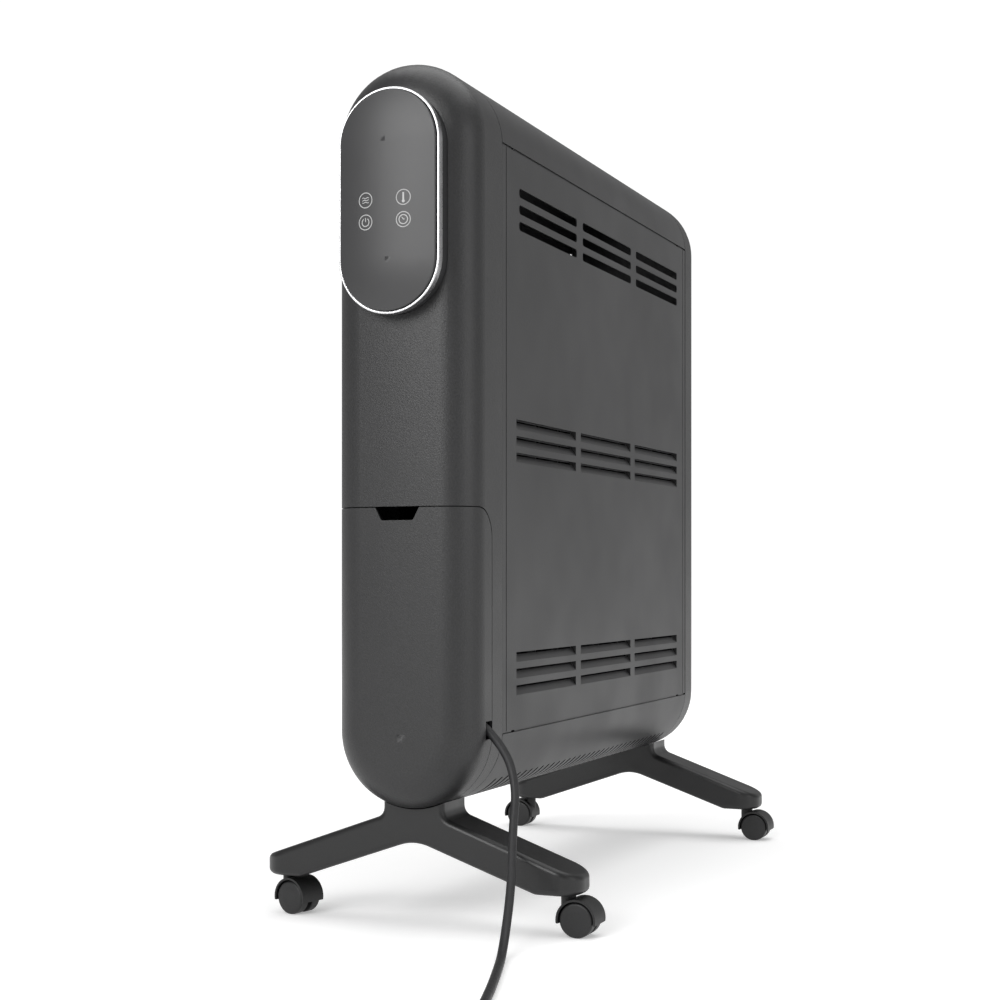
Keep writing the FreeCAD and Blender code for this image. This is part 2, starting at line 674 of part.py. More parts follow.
def covers():
    """The half round steel wraps above and below the side panels."""
    for label, kept in (("top_cover", "panel_high + panel_gap"), ("bottom_cover", "panel_low - panel_gap")):
        top = label == "top_cover"
        body = stadium_prism("-panel_length + cap_gap / 2", "-cap_gap / 2", "body_width", "body_height",
                             "middle", "sheet_wall")
        rest = new_sketch(body, "XZ", "10")
        other = "body_lift - 10" if top else "body_lift + body_height + 10"
        outline(rest, rectangle(("-body_width", "body_width"), (other, kept) if top else (kept, other)))
        pocket(body, rest, "2 * panel_length")
        vents = new_sketch(body, "XY")
        along = ("vent_start", "vent_start + vent_width")
        spans = [("-top_reach", "top_reach")] if top else [
            ("low_inner", "low_outer"), ("-low_outer", "-low_inner")]
        for span in spans:
            outline(vents, rectangle(span, along, "vent_round"))
        slot = pocket(body, vents, "2 * body_height", along=True)
        repeat(body, [slot], vents, "V_Axis", f"{VENTS - 1} * vent_pitch", VENTS)
        if top:
            finish(body, label)
            continue
        holes = [cylinder("1.7", "body_lift - 3", "body_lift + 4", "Z", ("0", y))
                 for y in ("bulkhead_rim / 2", "panel_length - bulkhead_rim / 2")]
        finish(cut(body, *holes), label)


def row_lows(group_middle, height):
    """The lower edges of a group's three rows."""
    return [f"{group_middle} + {row} * row_pitch - {height} / 2" for row in (-1, 0, 1)]


def open_slots(body):
    """Three rows of open slots through a side panel, in three columns."""
    sketch = new_sketch(body, "YZ", "0")
    for low in row_lows("middle + group_spacing", "slot_height"):
        outline(sketch, rectangle(("slot_start", "slot_start + slot_length"), (low, f"{low} + slot_height"),
                                  "slot_round"))
    slots = pocket(body, sketch, "body_width", along=True)
    repeat(body, [slots], sketch, "H_Axis", "2 * slot_pitch", 3)


def louvres(body, group_middle):
    """Rows of pressed louvres: sloping recesses, deepest and slit open along their upper edges."""
    face = "half_width - panel_recess"
    back = "inner_half"
    shell = new_sketch(body, "XZ", "-louvre_start - louvre_length - sheet_wall")
    recess = new_sketch(body, "XZ", "-louvre_start")
    slit = new_sketch(body, "XZ", "-louvre_start - 3")
    for low in row_lows(group_middle, "louvre_height"):
        high = f"{low} + louvre_height"
        outline(shell, ((back, f"{low} - 2 * sheet_wall"), (back, f"{high} + sheet_wall"),
                        (f"{back} - louvre_depth", f"{high} + sheet_wall"),
                        (f"{back} - louvre_depth", f"{high} - sheet_wall")))
        outline(recess, ((f"{face} + 1", f"{low} - 1.6"), (f"{face} + 1", high), (f"{face} - louvre_depth", high),
                         (f"{face} - louvre_depth", f"{high} - 0.6"), (face, low)))
        outline(slit, rectangle((f"{back} - louvre_depth - 2", f"{face} - louvre_depth + 1"),
                                (f"{high} - louvre_slit", f"{high} - 0.4")))
    wedge = pad(body, shell, "louvre_length + 2 * sheet_wall")
    hollow = pocket(body, recess, "louvre_length")
    opening = pocket(body, slit, "louvre_length - 6")
    columns = repeat(body, [wedge, hollow, opening], shell, "N_Axis", "2 * louvre_pitch", 3)
    columns.Reversed = True


def side_panels():
    """The right side panel and its mirror image on the left."""
    ends = ("cap_gap / 2", "panel_length - cap_gap / 2")
    body = prism("YZ", "inner_half", "half_width - panel_recess", rectangle(ends, ("panel_low", "panel_high")))
    crease = new_sketch(body, "YZ", "half_width")
    for start in ("crease_inset", "panel_length - crease_inset - crease_width"):
        outline(crease, rectangle((start, f"{start} + crease_width"), ("panel_low - 1", "panel_high + 1")))
    pocket(body, crease, "panel_recess + crease_depth")
    open_slots(body)
    for group_middle in ("middle", "middle - group_spacing"):
        louvres(body, group_middle)
    finish(body, "side_panel_right")
    left = doc.addObject("Part::Mirroring", "Mirror")
    left.Source = body
    left.Normal = Vector(1, 0, 0)
    left.Label = "side_panel_left"
    subparts.append(left)


# ---------------------------------------------------------------- the touch control

def glass_section(sketch):
    """Half of the glass seen from above: a flat back, a short side and a domed face."""
    half, back, face = amount("glass_half"), amount("ring_back"), amount("glass_face")
    radius = amount("glass_radius")
    middle = Vector(0, radius - face, 0)
    rim = Vector(half, middle.y - math.sqrt(radius ** 2 - half ** 2), 0)
    angle = math.atan2(rim.y - middle.y, half)
    base, side, dome, axis = sketch.addGeometry([
        Part.LineSegment(Vector(0, -back, 0), Vector(half, -back, 0)),
        Part.LineSegment(Vector(half, -back, 0), rim),
        Part.ArcOfCircle(Part.Circle(middle, Vector(0, 0, 1), radius), -math.pi / 2, angle),
        Part.LineSegment(Vector(0, -face, 0), Vector(0, -back, 0)),
    ])
    constrain(sketch, "Coincident", base, 2, side, 1)
    constrain(sketch, "Coincident", side, 2, dome, 2)
    constrain(sketch, "Coincident", dome, 1, axis, 1)
    constrain(sketch, "Coincident", axis, 2, base, 1)
    constrain(sketch, "Horizontal", base)
    constrain(sketch, "Vertical", side)
    constrain(sketch, "PointOnObject", dome, 3, -2)
    constrain(sketch, "Radius", dome, to="glass_radius")
    pin(sketch, base, 1, "0", "-ring_back")
    constrain(sketch, "DistanceX", -1, 1, base, 2, to="glass_half")
    pin(sketch, dome, 1, "0", "-glass_face")


def touch_control():
    """Metal ring, domed glass, board and backing tray of the touch control."""
    ring = stadium_prism("ring_back", "ring_lip", "control_width", "control_height", "control_middle",
                         "ring_wall")
    round_edges(ring, "ring_edge", level_with("ring_lip"))
    finish(ring, "control_bezel")
    glass = stadium_turned(glass_section, "control_low", "control_high")
    round_edges(glass, "glass_edge", level_with("glass_rim"))
    finish(glass, "touch_glass")
    width = "control_width - 2 * tray_inset"
    height = "control_height - 2 * tray_inset"
    tray = stadium_prism("front_depth - tray_sink", "ring_back", width, height, "control_middle")
    hollow = stadium_prism("front_depth - tray_sink + tray_wall", "ring_back + 1", f"{width} - 2 * tray_wall",
                           f"{height} - 2 * tray_wall", "control_middle")
    finish(cut(tray, hollow), "control_backing")
    inset = "2 * (tray_wall + 0.5)"
    finish(stadium_prism("ring_back - board_wall", "ring_back", f"{width} - {inset}", f"{height} - {inset}",
                         "control_middle"), "touch_board")


# ---------------------------------------------------------------- inside the caps

BOARD_LOW = "door_top + 50"
BOARD_PLACE = "-30"


def electronics():
    """The power board on its standoffs, the terminal block, the cut-out and the sensor."""
    finish(box(("-38", "38"), (f"{BOARD_PLACE} - board_wall", BOARD_PLACE), (BOARD_LOW, f"{BOARD_LOW} + 62")),
           "power_board")
    posts = [cylinder("3", BOARD_PLACE, "1", "Y", (x, z)) for x in ("-34", "34")
             for z in (f"{BOARD_LOW} + 5", f"{BOARD_LOW} + 57")]
    finish(group(*posts), "board_posts")
    block = box(("-24", "24"), ("-15", "1"), ("door_top + 12", "door_top + 32"))
    wells = [cylinder("2.5", "-16", "-7", "Y", (str(x), "door_top + 22")) for x in (-16, -8, 0, 8, 16)]
    finish(cut(block, *wells), "terminal_block")
    finish(cylinder("8", "-6", "1", "Y", ("-34", "upper_header - 60")), "thermal_cutout")
    finish(cylinder("3", "-14", "1", "Y", ("-20", "body_lift + 30")), "temperature_sensor")


def tilt_switch():
    """The tilt switch: a pendulum hung on a pin in a housing that is open in front."""
    low = "door_top + 125"
    pivot = f"{low} + 30"
    left, right = "tilt_place - tilt_width / 2", "tilt_place + tilt_width / 2"
    case = box((left, right), ("1 - tilt_depth", "1"), (low, f"{low} + tilt_height"))
    hollow = box((f"{left} + tilt_wall", f"{right} - tilt_wall"), ("-tilt_depth", "-1.5"),
                 (f"{low} + tilt_wall", f"{low} + tilt_height - tilt_wall"))
    pin_shaft = cylinder("tilt_pin", "3 - tilt_depth", "0", "Y", ("tilt_place", pivot))
    finish(fuse(cut(case, hollow), pin_shaft), "tilt_switch_housing")
    arm = box(("tilt_place - 1", "tilt_place + 1"), ("-13", "-5"), (f"{pivot} - tilt_arm", f"{pivot} - 2.5"))
    parts = fuse(cylinder("tilt_hub", "-13", "-5", "Y", ("tilt_place", pivot)), arm,
                 cylinder("tilt_weight", "-14", "-4", "Y", ("tilt_place", f"{pivot} - tilt_arm")))
    bore = cylinder("tilt_pin + running_gap", "-20", "0", "Y", ("tilt_place", pivot))
    finish(cut(parts, bore), "tilt_switch_pendulum")


def cord_bay():
    """The liner that holds the wound cord behind the door, and the cord's gland."""
    half = "half_width - cap_wall - bay_clearance"
    top = "door_top - bay_top"

    def tub(inset, low, high):
        body = new_body()
        sketch = new_sketch(body, "XZ", low)
        stadium(sketch, f"2 * ({half} - {inset})", f"2 * ({half} - {inset}) + 400", "lower_centre + 200")
        pad(body, sketch, f"({high}) - ({low})")
        return common(body, box(("-body_width", "body_width"), ("-2 * front_depth", "0"),
                                ("body_lift", f"{top} - {inset}")))
    outer = tub("0", "bay_back", "bay_front")
    inner = tub("cap_wall", "bay_back + cap_wall", "bay_front + 1")
    passage = box(("half_width - 14", "half_width"), ("-door_setback - exit_depth", "-door_setback"),
                  ("body_lift + exit_low - 3", "body_lift + exit_low + exit_height + 8"))
    finish(cut(outer, inner, passage), "cord_bay_liner")
    gland = doc.addObject("Part::Cone", "Cone")
    gland.setExpression("Radius1", tied("gland_radius"))
    gland.setExpression("Radius2", tied("cord_radius + gland_lip"))
    gland.setExpression("Height", tied("gland_length"))
    start = spot(CORD_ROUTE[0])
    ahead = (spot(CORD_ROUTE[1]) - start).normalize()
    gland.Placement = FreeCAD.Placement(start - ahead * amount("gland_length"), Rotation(Vector(0, 0, 1), ahead))
    gland.Label = "cord_gland"
    subparts.append(gland)


# ---------------------------------------------------------------- the steel inside

def bulkheads():
    """Flanged end plates that the covers, caps and columns are fixed to."""
    for label, y, turn in (("front_bulkhead", "0", "0"), ("rear_bulkhead", "panel_length", "180")):
        height = "body_height - 2 * (half_width - rim_half)"
        shell = stadium_prism("-bulkhead_rim", "-1", "2 * rim_half", height, "middle")
        hollow = stadium_prism("-bulkhead_rim - 1", "-1 - bulkhead_wall", "2 * rim_half - 2 * bulkhead_wall",
                               f"{height} - 2 * bulkhead_wall", "middle")
        holes = boss_holes("2", "0", "3")
        holes.append(cylinder("stud_radius + fit_gap", "0", "3", "Y", ("0", "upper_header")))
        holes.append(cylinder("header_bore", "0", "3", "Y", ("0", "lower_header")))
        holes.append(cylinder("1.7", "body_lift - 3", "body_lift + 5", "Z", ("0", "bulkhead_rim / 2")))
        window = prism("XZ", "-3", "0", rectangle(("-32", "32"), ("lower_header + 40", "upper_header - 130"), "8"))
        finish(cut(cut(shell, hollow), window, *holes), label, y=y, turn=turn)


def screws():
    """The screws that hold the caps and the bottom cover to the bulkheads."""
    def pan_screw(radius, head, spot, start, length, head_height):
        return fuse(cylinder(radius, f"{start} - {length}", start, "Y", spot),
                    cylinder(head, start, f"{start} + {head_height}", "Y", spot))
    spots = [(f"{sign}(half_width - cap_wall - boss_width / 2)", row) for row in BOSS_ROWS for sign in ("", "-")]
    behind = "1 + bulkhead_wall"
    for label, y, turn in (("front_cap_screws", "0", "0"), ("rear_cap_screws", "panel_length", "180")):
        finish(group(*[pan_screw("1.7", "3.2", spot, behind, "20", "2.2") for spot in spots]), label, y=y, turn=turn)
    heads = []
    for y in ("bulkhead_rim / 2", "panel_length - bulkhead_rim / 2"):
        shank = cylinder("1.6", "body_lift - 0.5", "body_lift + 9", "Z", ("0", y))
        head = cylinder("3.2", "body_lift - 1.8", "body_lift - 0.2", "Z", ("0", y))
        heads.append(fuse(shank, head))
    finish(group(*heads), "cover_screws")


def radiator():
    """The welded oil filled columns with their headers, plug, nuts and element."""
    parts = []
    tube_place = "column_width / 2 - column_tube"
    for i in range(COLUMNS):
        y = f"column_inset + {i} * column_pitch"
        parts.append(box(("-column_width / 2 + 1", "column_width / 2 - 1"), (f"{y} - column_plate / 2", f"{y} + column_plate / 2"),
                         ("lower_header", "upper_header")))
        for x in (tube_place, f"-({tube_place})"):
            parts.append(cylinder("column_tube", "lower_header - 4", "upper_header + 4", "Z", (x, y)))
        for z in ("lower_header", "upper_header"):
            parts.append(cylinder("column_tube - 1", f"-({tube_place})", tube_place, "X", (y, z)))
    for z in ("lower_header", "upper_header"):
        parts.append(cylinder("header_radius", "header_end", "rear_end", "Y", ("0", z)))
    studs = cylinder("stud_radius", "-7", "panel_length + 7", "Y", ("0", "upper_header"))
    bore = cylinder("header_bore", "header_end - 1", "header_end + element_length + 6", "Y", ("0", "lower_header"))
    port = cylinder("6", "rear_end - 12", "rear_end + 1", "Y", ("0", "lower_header"))
    finish(cut(fuse(*parts, studs), bore, port), "radiator_columns")
    plug = fuse(cylinder("6 - running_gap", "rear_end - 10", "rear_end", "Y", ("0", "lower_header")),
                cylinder("9", "rear_end", "rear_end + 5", "Y", ("0", "lower_header")))
    finish(plug, "filling_plug")
    nuts = []
    for low, high in (("1 - nut_height", "1"), ("panel_length - 1", "panel_length - 1 + nut_height")):
        nuts.append(cut(cylinder("nut_radius", low, high, "Y", ("0", "upper_header")),
                        cylinder("stud_radius + running_gap", f"{low} - 1", f"{high} + 1", "Y", ("0", "upper_header"))))
    finish(group(*nuts), "header_nuts")
    legs = [cylinder("element_radius", "header_end - gasket_wall - flange_wall - 12",
                     "header_end + element_length", "Y", (x, "lower_header"))
            for x in ("element_spread", "-element_spread")]
    bridge = cylinder("element_radius", "-element_spread", "element_spread", "X",
                      ("header_end + element_length", "lower_header"))
    finish(fuse(*legs, bridge), "heating_element")
    for label, low, high, gap in (
            ("element_gasket", "header_end - gasket_wall", "header_end", "header_bore - 0.5"),
            ("element_flange", "header_end - gasket_wall - flange_wall", "header_end - gasket_wall", None)):
        plate = cylinder("flange_radius - 2" if gap else "flange_radius", low, high, "Y", ("0", "lower_header"))
        if gap:
            holes = [cylinder(gap, f"{low} - 1", f"{high} + 1", "Y", ("0", "lower_header"))]
        else:
            holes = [cylinder("element_radius + running_gap", f"{low} - 1", f"{high} + 1", "Y", (x, "lower_header"))
                     for x in ("element_spread", "-element_spread")]
        finish(cut(plate, *holes), label)


# ---------------------------------------------------------------- the feet

def foot(label, y, bolts_y):
    """An arched beam whose neck cradles the underside of the casing."""
    half = "foot_span / 2"
    body = prism("XZ", "-foot_width / 2", "foot_width / 2", (
        ("-foot_neck", "body_lift + 9"),
        ("-foot_neck", "foot_shoulder", "9"),
        (f"-{half}", "foot_tip"),
        (f"-{half}", "foot_clear"),
        (f"foot_flat - {half}", "foot_clear", "12"),
        ("0", "foot_arch", "40"),
        (f"{half} - foot_flat", "foot_clear", "12"),
        (half, "foot_clear"),
        (half, "foot_tip"),
        ("foot_neck", "foot_shoulder", "9"),
        ("foot_neck", "body_lift + 9"),
    ))
    plan = new_sketch(body, "XY")
    outline(plan, rectangle(("-foot_span", "foot_span"), ("-foot_width", "foot_width")))
    outline(plan, rectangle((f"-{half}", half), ("-foot_width / 2", "foot_width / 2"), "foot_corner"))
    pocket(body, plan, "body_height", along=True)
    lowest = amount("foot_tip") - 0.5
    crown = amount("body_lift") + 8
    flank = amount("foot_width / 2 - foot_corner") - 0.5
    end = amount("foot_span / 2") - 0.5

    def upper(edge):
        """An edge along the top of a flank or round an end, but not one across the beam."""
        bounds = edge.BoundBox
        crosses = bounds.YLength > 2 * flank and bounds.XMax < end and bounds.XMin > -end
        corner = bounds.ZLength > amount("foot_clear / 2") and bounds.XLength < 0.01 and bounds.ZMin < lowest
        return bounds.ZMin > lowest and bounds.ZMin < crown and not crosses and not corner
    round_edges(body, "foot_edge", upper)
    saddle = cylinder("half_width + saddle_gap", "-foot_width", "foot_width", "Y", ("0", "lower_centre"))
    tools = [saddle]
    for x in ("bolt_spread", "-bolt_spread"):
        tools.append(cylinder("bolt_radius + fit_gap", "foot_clear", "lower_centre", "Z", (x, bolts_y)))
        tools.append(cylinder("bolt_head + 1", "foot_clear", "foot_arch + 6", "Z", (x, bolts_y)))
    for x in ("caster_reach", "-caster_reach"):
        tools.append(cylinder("shank_radius + running_gap", "0", "shank_top + 0.5", "Z", (x, "0")))
    finish(cut(body, *tools), label, y=y)


def feet():
    """Both feet, their brackets inside the caps, and the bolts and nuts through them."""
    joint = {"front": "0", "rear": "panel_length"}
    foot("foot_front", "-foot_ahead", "foot_ahead - bolt_place")
    foot("foot_rear", "panel_length + foot_behind", "bolt_place - foot_behind")
    brackets, bolts, nuts = [], [], []
    for end, sign in (("front", "-"), ("rear", "+")):
        y = f"{joint[end]} {sign} bolt_place"
        blank = box(("-bolt_spread - 10", "bolt_spread + 10"), (f"{y} - 7", f"{y} + 7"), ("body_lift", "bracket_high"))
        round_bar = cylinder("half_width - cap_wall - 0.2", f"{y} - 8", f"{y} + 8", "Y", ("0", "lower_centre"))
        brackets.append(cut(common(blank, round_bar), *foot_holes("body_lift", "bracket_high + 1", y)))
        for x in ("bolt_spread", "-bolt_spread"):
            bolts.append(fuse(cylinder("bolt_radius", "foot_arch + 5", "bracket_high + 8", "Z", (x, y)),
                              cylinder("bolt_head", "foot_arch + 2", "foot_arch + 6", "Z", (x, y))))
            nuts.append(cut(cylinder("bolt_head", "bracket_high", "bracket_high + 5", "Z", (x, y)),
                            cylinder("bolt_radius + running_gap", "body_lift", "bracket_high + 6", "Z", (x, y))))
    finish(group(*brackets), "foot_brackets")
    finish(group(*bolts), "foot_bolts")
    finish(group(*nuts), "foot_nuts")


# ---------------------------------------------------------------- the castors

def wheel(side):
    """A castor wheel about its own axle, on one side of the hood's web."""
    inner = "web_width / 2 + wheel_side_gap"
    outer = f"{inner} + wheel_width"
    domed = f"{outer} + wheel_crown"
    hollow = f"{outer} - wheel_face"
    bore = "axle_radius + running_gap"

    def y(text):
        return text if side > 0 else f"-({text})"
    body = new_body()
    sketch = new_sketch(body, "XY")
    outline(sketch, (
        (bore, y(inner)), ("wheel_radius", y(inner), "wheel_edge"), ("wheel_radius", y(outer), "wheel_round"),
        ("wheel_radius / 2", y(domed), "wheel_radius / 2"), ("0", y(domed)), ("0", y(hollow)), (bore, y(hollow)),
    ))
    turned = body.newObject("PartDesign::Revolution", "Turned")
    turned.Profile = sketch
    turned.ReferenceAxis = (sketch, ["V_Axis"])
    turned.Angle = 360
    return group(place(body, "caster_trail", "0", "wheel_radius"))


def caster(name, x, y, turn):
    """A hooded twin-wheel castor: hood, axle and two wheels."""
    axle_at = ("caster_trail", "wheel_radius")
    drum = cylinder("hood_radius", "-hood_width / 2", "hood_width / 2", "Y", axle_at)
    boss = cylinder("boss_radius", "wheel_radius", "boss_top")
    below = box(("-40", "60"), ("-40", "40"), ("-40", "wheel_radius - hood_skirt"))
    spaces = [cylinder("wheel_radius + wheel_gap", low, high, "Y", axle_at)
              for low, high in (("web_width / 2", "hood_width"), ("-hood_width", "-web_width / 2"))]
    hub = cylinder("hub_radius", "-web_width / 2", "web_width / 2", "Y", axle_at)
    hood = fuse(cut(fuse(drum, boss), below, *spaces), hub)
    stem_hole = cylinder("stem_radius + running_gap", "stem_low - 0.3", "boss_top + 1")
    axle_hole = cylinder("axle_radius", "-hood_width", "hood_width", "Y", axle_at)
    finish(cut(hood, stem_hole, axle_hole), f"{name}_hood", x, y, "0", turn)
    reach = "web_width / 2 + wheel_side_gap + wheel_width - wheel_face - running_gap"
    axle = cylinder("axle_radius", f"-({reach})", reach, "Y", axle_at)
    finish(group(axle), f"{name}_axle", x, y, "0", turn)
    finish(wheel(1), f"{name}_wheel_a", x, y, "0", turn)
    finish(wheel(-1), f"{name}_wheel_b", x, y, "0", turn)
    return fuse(cylinder("stem_radius", "stem_low", "foot_clear", "Z", (x, y)),
                cylinder("collar_radius", "boss_top + 0.2", "foot_clear", "Z", (x, y)),
                cylinder("shank_radius", "foot_clear", "shank_top", "Z", (x, y)))


def casters():
    """Four castors and the stems that fix them in the feet."""
    stems = [caster(name, x, y, turn) for name, (x, y, turn) in CASTERS.items()]
    finish(group(*stems), "caster_stems")


# ---------------------------------------------------------------- the cord

def tube(label, route):
    """A round cord along straight runs joined by tangent arcs."""
    radius = amount("cord_radius")
    spots = [spot(texts) for texts in route]
    edges, start = [], spots[0]
    for before, corner, after in zip(spots, spots[1:], spots[2:]):
        back, on = before - corner, after - corner
        turn = math.pi - back.getAngle(on)
        reach = 0.45 * min(back.Length, on.Length)
        bend = reach / math.tan(turn / 2)
        back.normalize()
        on.normalize()
        entry, leave = corner + back * reach, corner + on * reach
        inward = (back + on).normalize()
        summit = corner + inward * (math.hypot(bend, reach) - bend)
        edges.append(Part.LineSegment(start, entry).toShape())
        edges.append(Part.Arc(entry, summit, leave).toShape())
        print(f"{label}: turn {math.degrees(turn):.1f} degrees, radius {bend:.0f} mm")
        start = leave
    edges.append(Part.LineSegment(start, spots[-1]).toShape())
    path = Part.Wire(edges)
    length = path.Length
    ahead = (spots[1] - spots[0]).normalize()
    ring = Part.Wire([Part.Circle(spots[0], ahead, radius).toShape()])
    solid = path.makePipeShell([ring], True, True)
    expected = math.pi * radius ** 2 * length
    print(f"{label}: {length:.0f} mm long, volume {solid.Volume / expected:.4f} of section times length")
    cord = doc.addObject("Part::Feature", "Cord")
    cord.Shape = solid
    cord.Label = label
    subparts.append(cord)


def put(thing, label, x, y, z, turn="0"):
    """Names a sub-part of the cord and places it in the heater's frame."""
    thing.Label = label
    subparts.append(place(thing, x, y, z, turn))


def cord_set():
    """The cord's tubes, its coil and tie, and the plug."""
    tube("cord", CORD_ROUTE)
    tube("cord_tail", TAIL_ROUTE)
    outer, inner = "turn_radius + coil_width / 2", "turn_radius - coil_width / 2"
    ring = cut(cylinder(outer, "0", "coil_height"), cylinder(inner, "-1", "coil_height + 1"))
    put(ring, "cord_coil", *COIL_CENTRE, "tie_wall")
    sides = (f"{inner} - 0.6", f"{outer} + 0.3")
    around = ("-tie_width / 2", "tie_width / 2")
    band = box((f"{sides[0]} - tie_wall", f"{sides[1]} + tie_wall"), around, ("0", "coil_height + 2 * tie_wall"))
    room = box(sides, ("-tie_width", "tie_width"), ("tie_wall - 0.1", "coil_height + tie_wall + 0.1"))
    put(cut(band, room), "cord_tie", *COIL_CENTRE, "0", "150")
    end = TAIL_ROUTE[-1]
    boot = doc.addObject("Part::Cone", "Cone")
    boot.setExpression("Radius1", tied("boot_radius"))
    boot.setExpression("Radius2", tied("plug_grip - 1.5"))
    boot.setExpression("Height", tied("boot_length"))
    boot.Placement = FreeCAD.Placement(Vector(), Rotation(Vector(0, 1, 0), 90))
    rows = ("pin_spacing / 2", "-pin_spacing / 2")
    held = "plug_face - pin_hold"
    pins = [fuse(cylinder("pin_radius", "plug_face", "plug_face + pin_length", "X", (y, "0")),
                 cylinder("pin_root", held, "plug_face + 1", "X", (y, "0"))) for y in rows]
    sockets = [cylinder("pin_root + running_gap", held, "plug_face + 2", "X", (y, "0")) for y in rows]
    body = fuse(boot, cylinder("plug_grip", "grip_start", "grip_end", "X"),
                cylinder("plug_radius", "plug_face - plug_disc", "plug_face", "X"))
    put(cut(body, *sockets), "plug_body", *end, PLUG_TURN)
    put(group(*pins), "plug_pins", *end, PLUG_TURN)


# ---------------------------------------------------------------- the whole

def check_and_write():
    """Stops on a failed object or a bad shape, then writes each sub-part's file."""
    doc.recompute()
    for thing in doc.Objects:
        if {"Invalid", "Error"} & set(thing.State):
            raise RuntimeError(f"{thing.Name} ({thing.Label}) failed: {thing.State}")
    os.makedirs("parts", exist_ok=True)
    for thing in subparts:
        shape = thing.Shape
        if shape.isNull() or not shape.isValid() or not shape.Solids:
            raise RuntimeError(f"{thing.Label} has no valid solid")
    for thing in subparts:
        thing.Shape.exportStep(f"parts/{thing.Label}.step")
    print(f"{len(subparts)} sub-parts written")


front_caps()
rear_cap()
covers()
side_panels()
touch_control()
electronics()
tilt_switch()
cord_bay()
bulkheads()
screws()
radiator()
feet()
casters()
cord_set()
check_and_write()
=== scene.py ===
import json
import math

import bmesh
import bpy
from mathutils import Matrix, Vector


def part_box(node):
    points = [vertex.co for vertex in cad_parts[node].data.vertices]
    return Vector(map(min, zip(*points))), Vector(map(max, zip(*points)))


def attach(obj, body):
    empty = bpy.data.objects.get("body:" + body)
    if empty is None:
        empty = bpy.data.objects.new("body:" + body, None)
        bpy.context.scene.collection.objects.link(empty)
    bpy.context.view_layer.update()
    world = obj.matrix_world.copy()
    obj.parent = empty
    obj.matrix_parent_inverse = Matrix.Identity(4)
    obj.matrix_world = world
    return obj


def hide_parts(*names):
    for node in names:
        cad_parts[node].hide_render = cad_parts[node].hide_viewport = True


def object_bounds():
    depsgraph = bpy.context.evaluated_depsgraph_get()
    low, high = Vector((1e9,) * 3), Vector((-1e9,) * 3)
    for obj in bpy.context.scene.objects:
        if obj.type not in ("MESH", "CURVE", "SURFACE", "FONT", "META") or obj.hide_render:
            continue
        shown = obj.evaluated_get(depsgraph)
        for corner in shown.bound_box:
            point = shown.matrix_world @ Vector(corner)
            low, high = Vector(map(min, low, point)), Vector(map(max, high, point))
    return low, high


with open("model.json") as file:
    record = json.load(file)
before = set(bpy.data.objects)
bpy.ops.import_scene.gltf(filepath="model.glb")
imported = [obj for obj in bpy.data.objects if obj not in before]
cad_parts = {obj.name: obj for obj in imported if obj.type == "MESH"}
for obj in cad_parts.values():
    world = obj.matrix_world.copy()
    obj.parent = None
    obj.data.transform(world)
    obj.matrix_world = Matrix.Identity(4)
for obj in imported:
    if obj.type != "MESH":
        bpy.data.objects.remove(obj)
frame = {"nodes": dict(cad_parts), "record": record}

bl_info = {
    "name": "Oil Filled Radiator Heater",
    "version": (1, 0, 0),
    "blender": (4, 5, 0),
    "location": "View3D > Sidebar > Heater",
    "description": "Finishes the casing, touch control, feet, castors and mains lead of a radiator heater",
    "category": "Object",
}

MM = 0.001
# Sockets of a colour mix, which share their names with others and are told apart by place.
MIX_FACTOR, MIX_DARK, MIX_LIGHT, MIX_RESULT = 0, 6, 7, 2
CAD_BOX = [[float(value) for value in corner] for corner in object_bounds()]
SLOT_OF = {part["node"]: part["material_slot"] for part in frame["record"]["subparts"]}

# The touch glass bows forward about an upright line. Its marks stand a little to the left.
GLASS_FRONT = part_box("touch_glass")[0].y
DOME_RADIUS = 0.209
MARKS_ASIDE = 0.0007
RING_LIFT = 0.000015
RING_INK_DEPTH = 0.00011
RING_SIDES = 64
WAVE_STEPS = 24

# The folded edge behind a side panel's seam: how far it lies under the sheet and short of the ends,
# how far it reaches past the seam and back from it, where its crease is, its thickness and its depth.
FLANGE_INSET = 0.0012
FLANGE_SHORT = 0.028
FLANGE_PAST = 0.0065
FLANGE_BACK = 0.007
FLANGE_CREASE = 0.0064
FLANGE_SHEET = 0.0006
FLANGE_DEPTH = 0.0040

# The lead's path from the cord opening down to the floor and along it, in metres.
LEAD_RUN = (
    (0.0556, -0.2607, 0.1656), (0.0750, -0.2590, 0.1482), (0.0880, -0.2650, 0.1177),
    (0.0918, -0.2830, 0.0827), (0.1010, -0.3070, 0.0460), (0.1090, -0.3430, 0.0035),
    (0.1305, -0.4050, 0.0035), (0.1485, -0.4600, 0.0035), (0.1700, -0.5330, 0.0035),
    (0.1844, -0.5960, 0.0035),
)
# The end of the lead, off the coil and down to the plug that lies beside it.
LEAD_TAIL = ((0.1535, -0.6533, 0.0113), (0.1228, -0.6625, 0.0135), (0.0945, -0.6695, 0.0182))
# The coil's middle and outer radius in metres, the angle it starts at in degrees, and its turns.
COIL_MIDDLE = (0.1403, -0.6092)
COIL_RADIUS = 0.046
COIL_START = 16.7
COIL_TURNS = 5.25
COIL_STEPS = 16
COIL_LOW = 0.0043
COIL_STEP_OVER = 0.007
# Where the lead steps in (-1) or out (1): the angle that starts it and how many degrees it takes.
COIL_SHIFTS = ((280.0, 60.0, -1), (640.0, 60.0, -1), (1205.0, 70.0, 1), (1565.0, 70.0, 1))
CLIMB_START, CLIMB_OVER = 930.0, 100.0

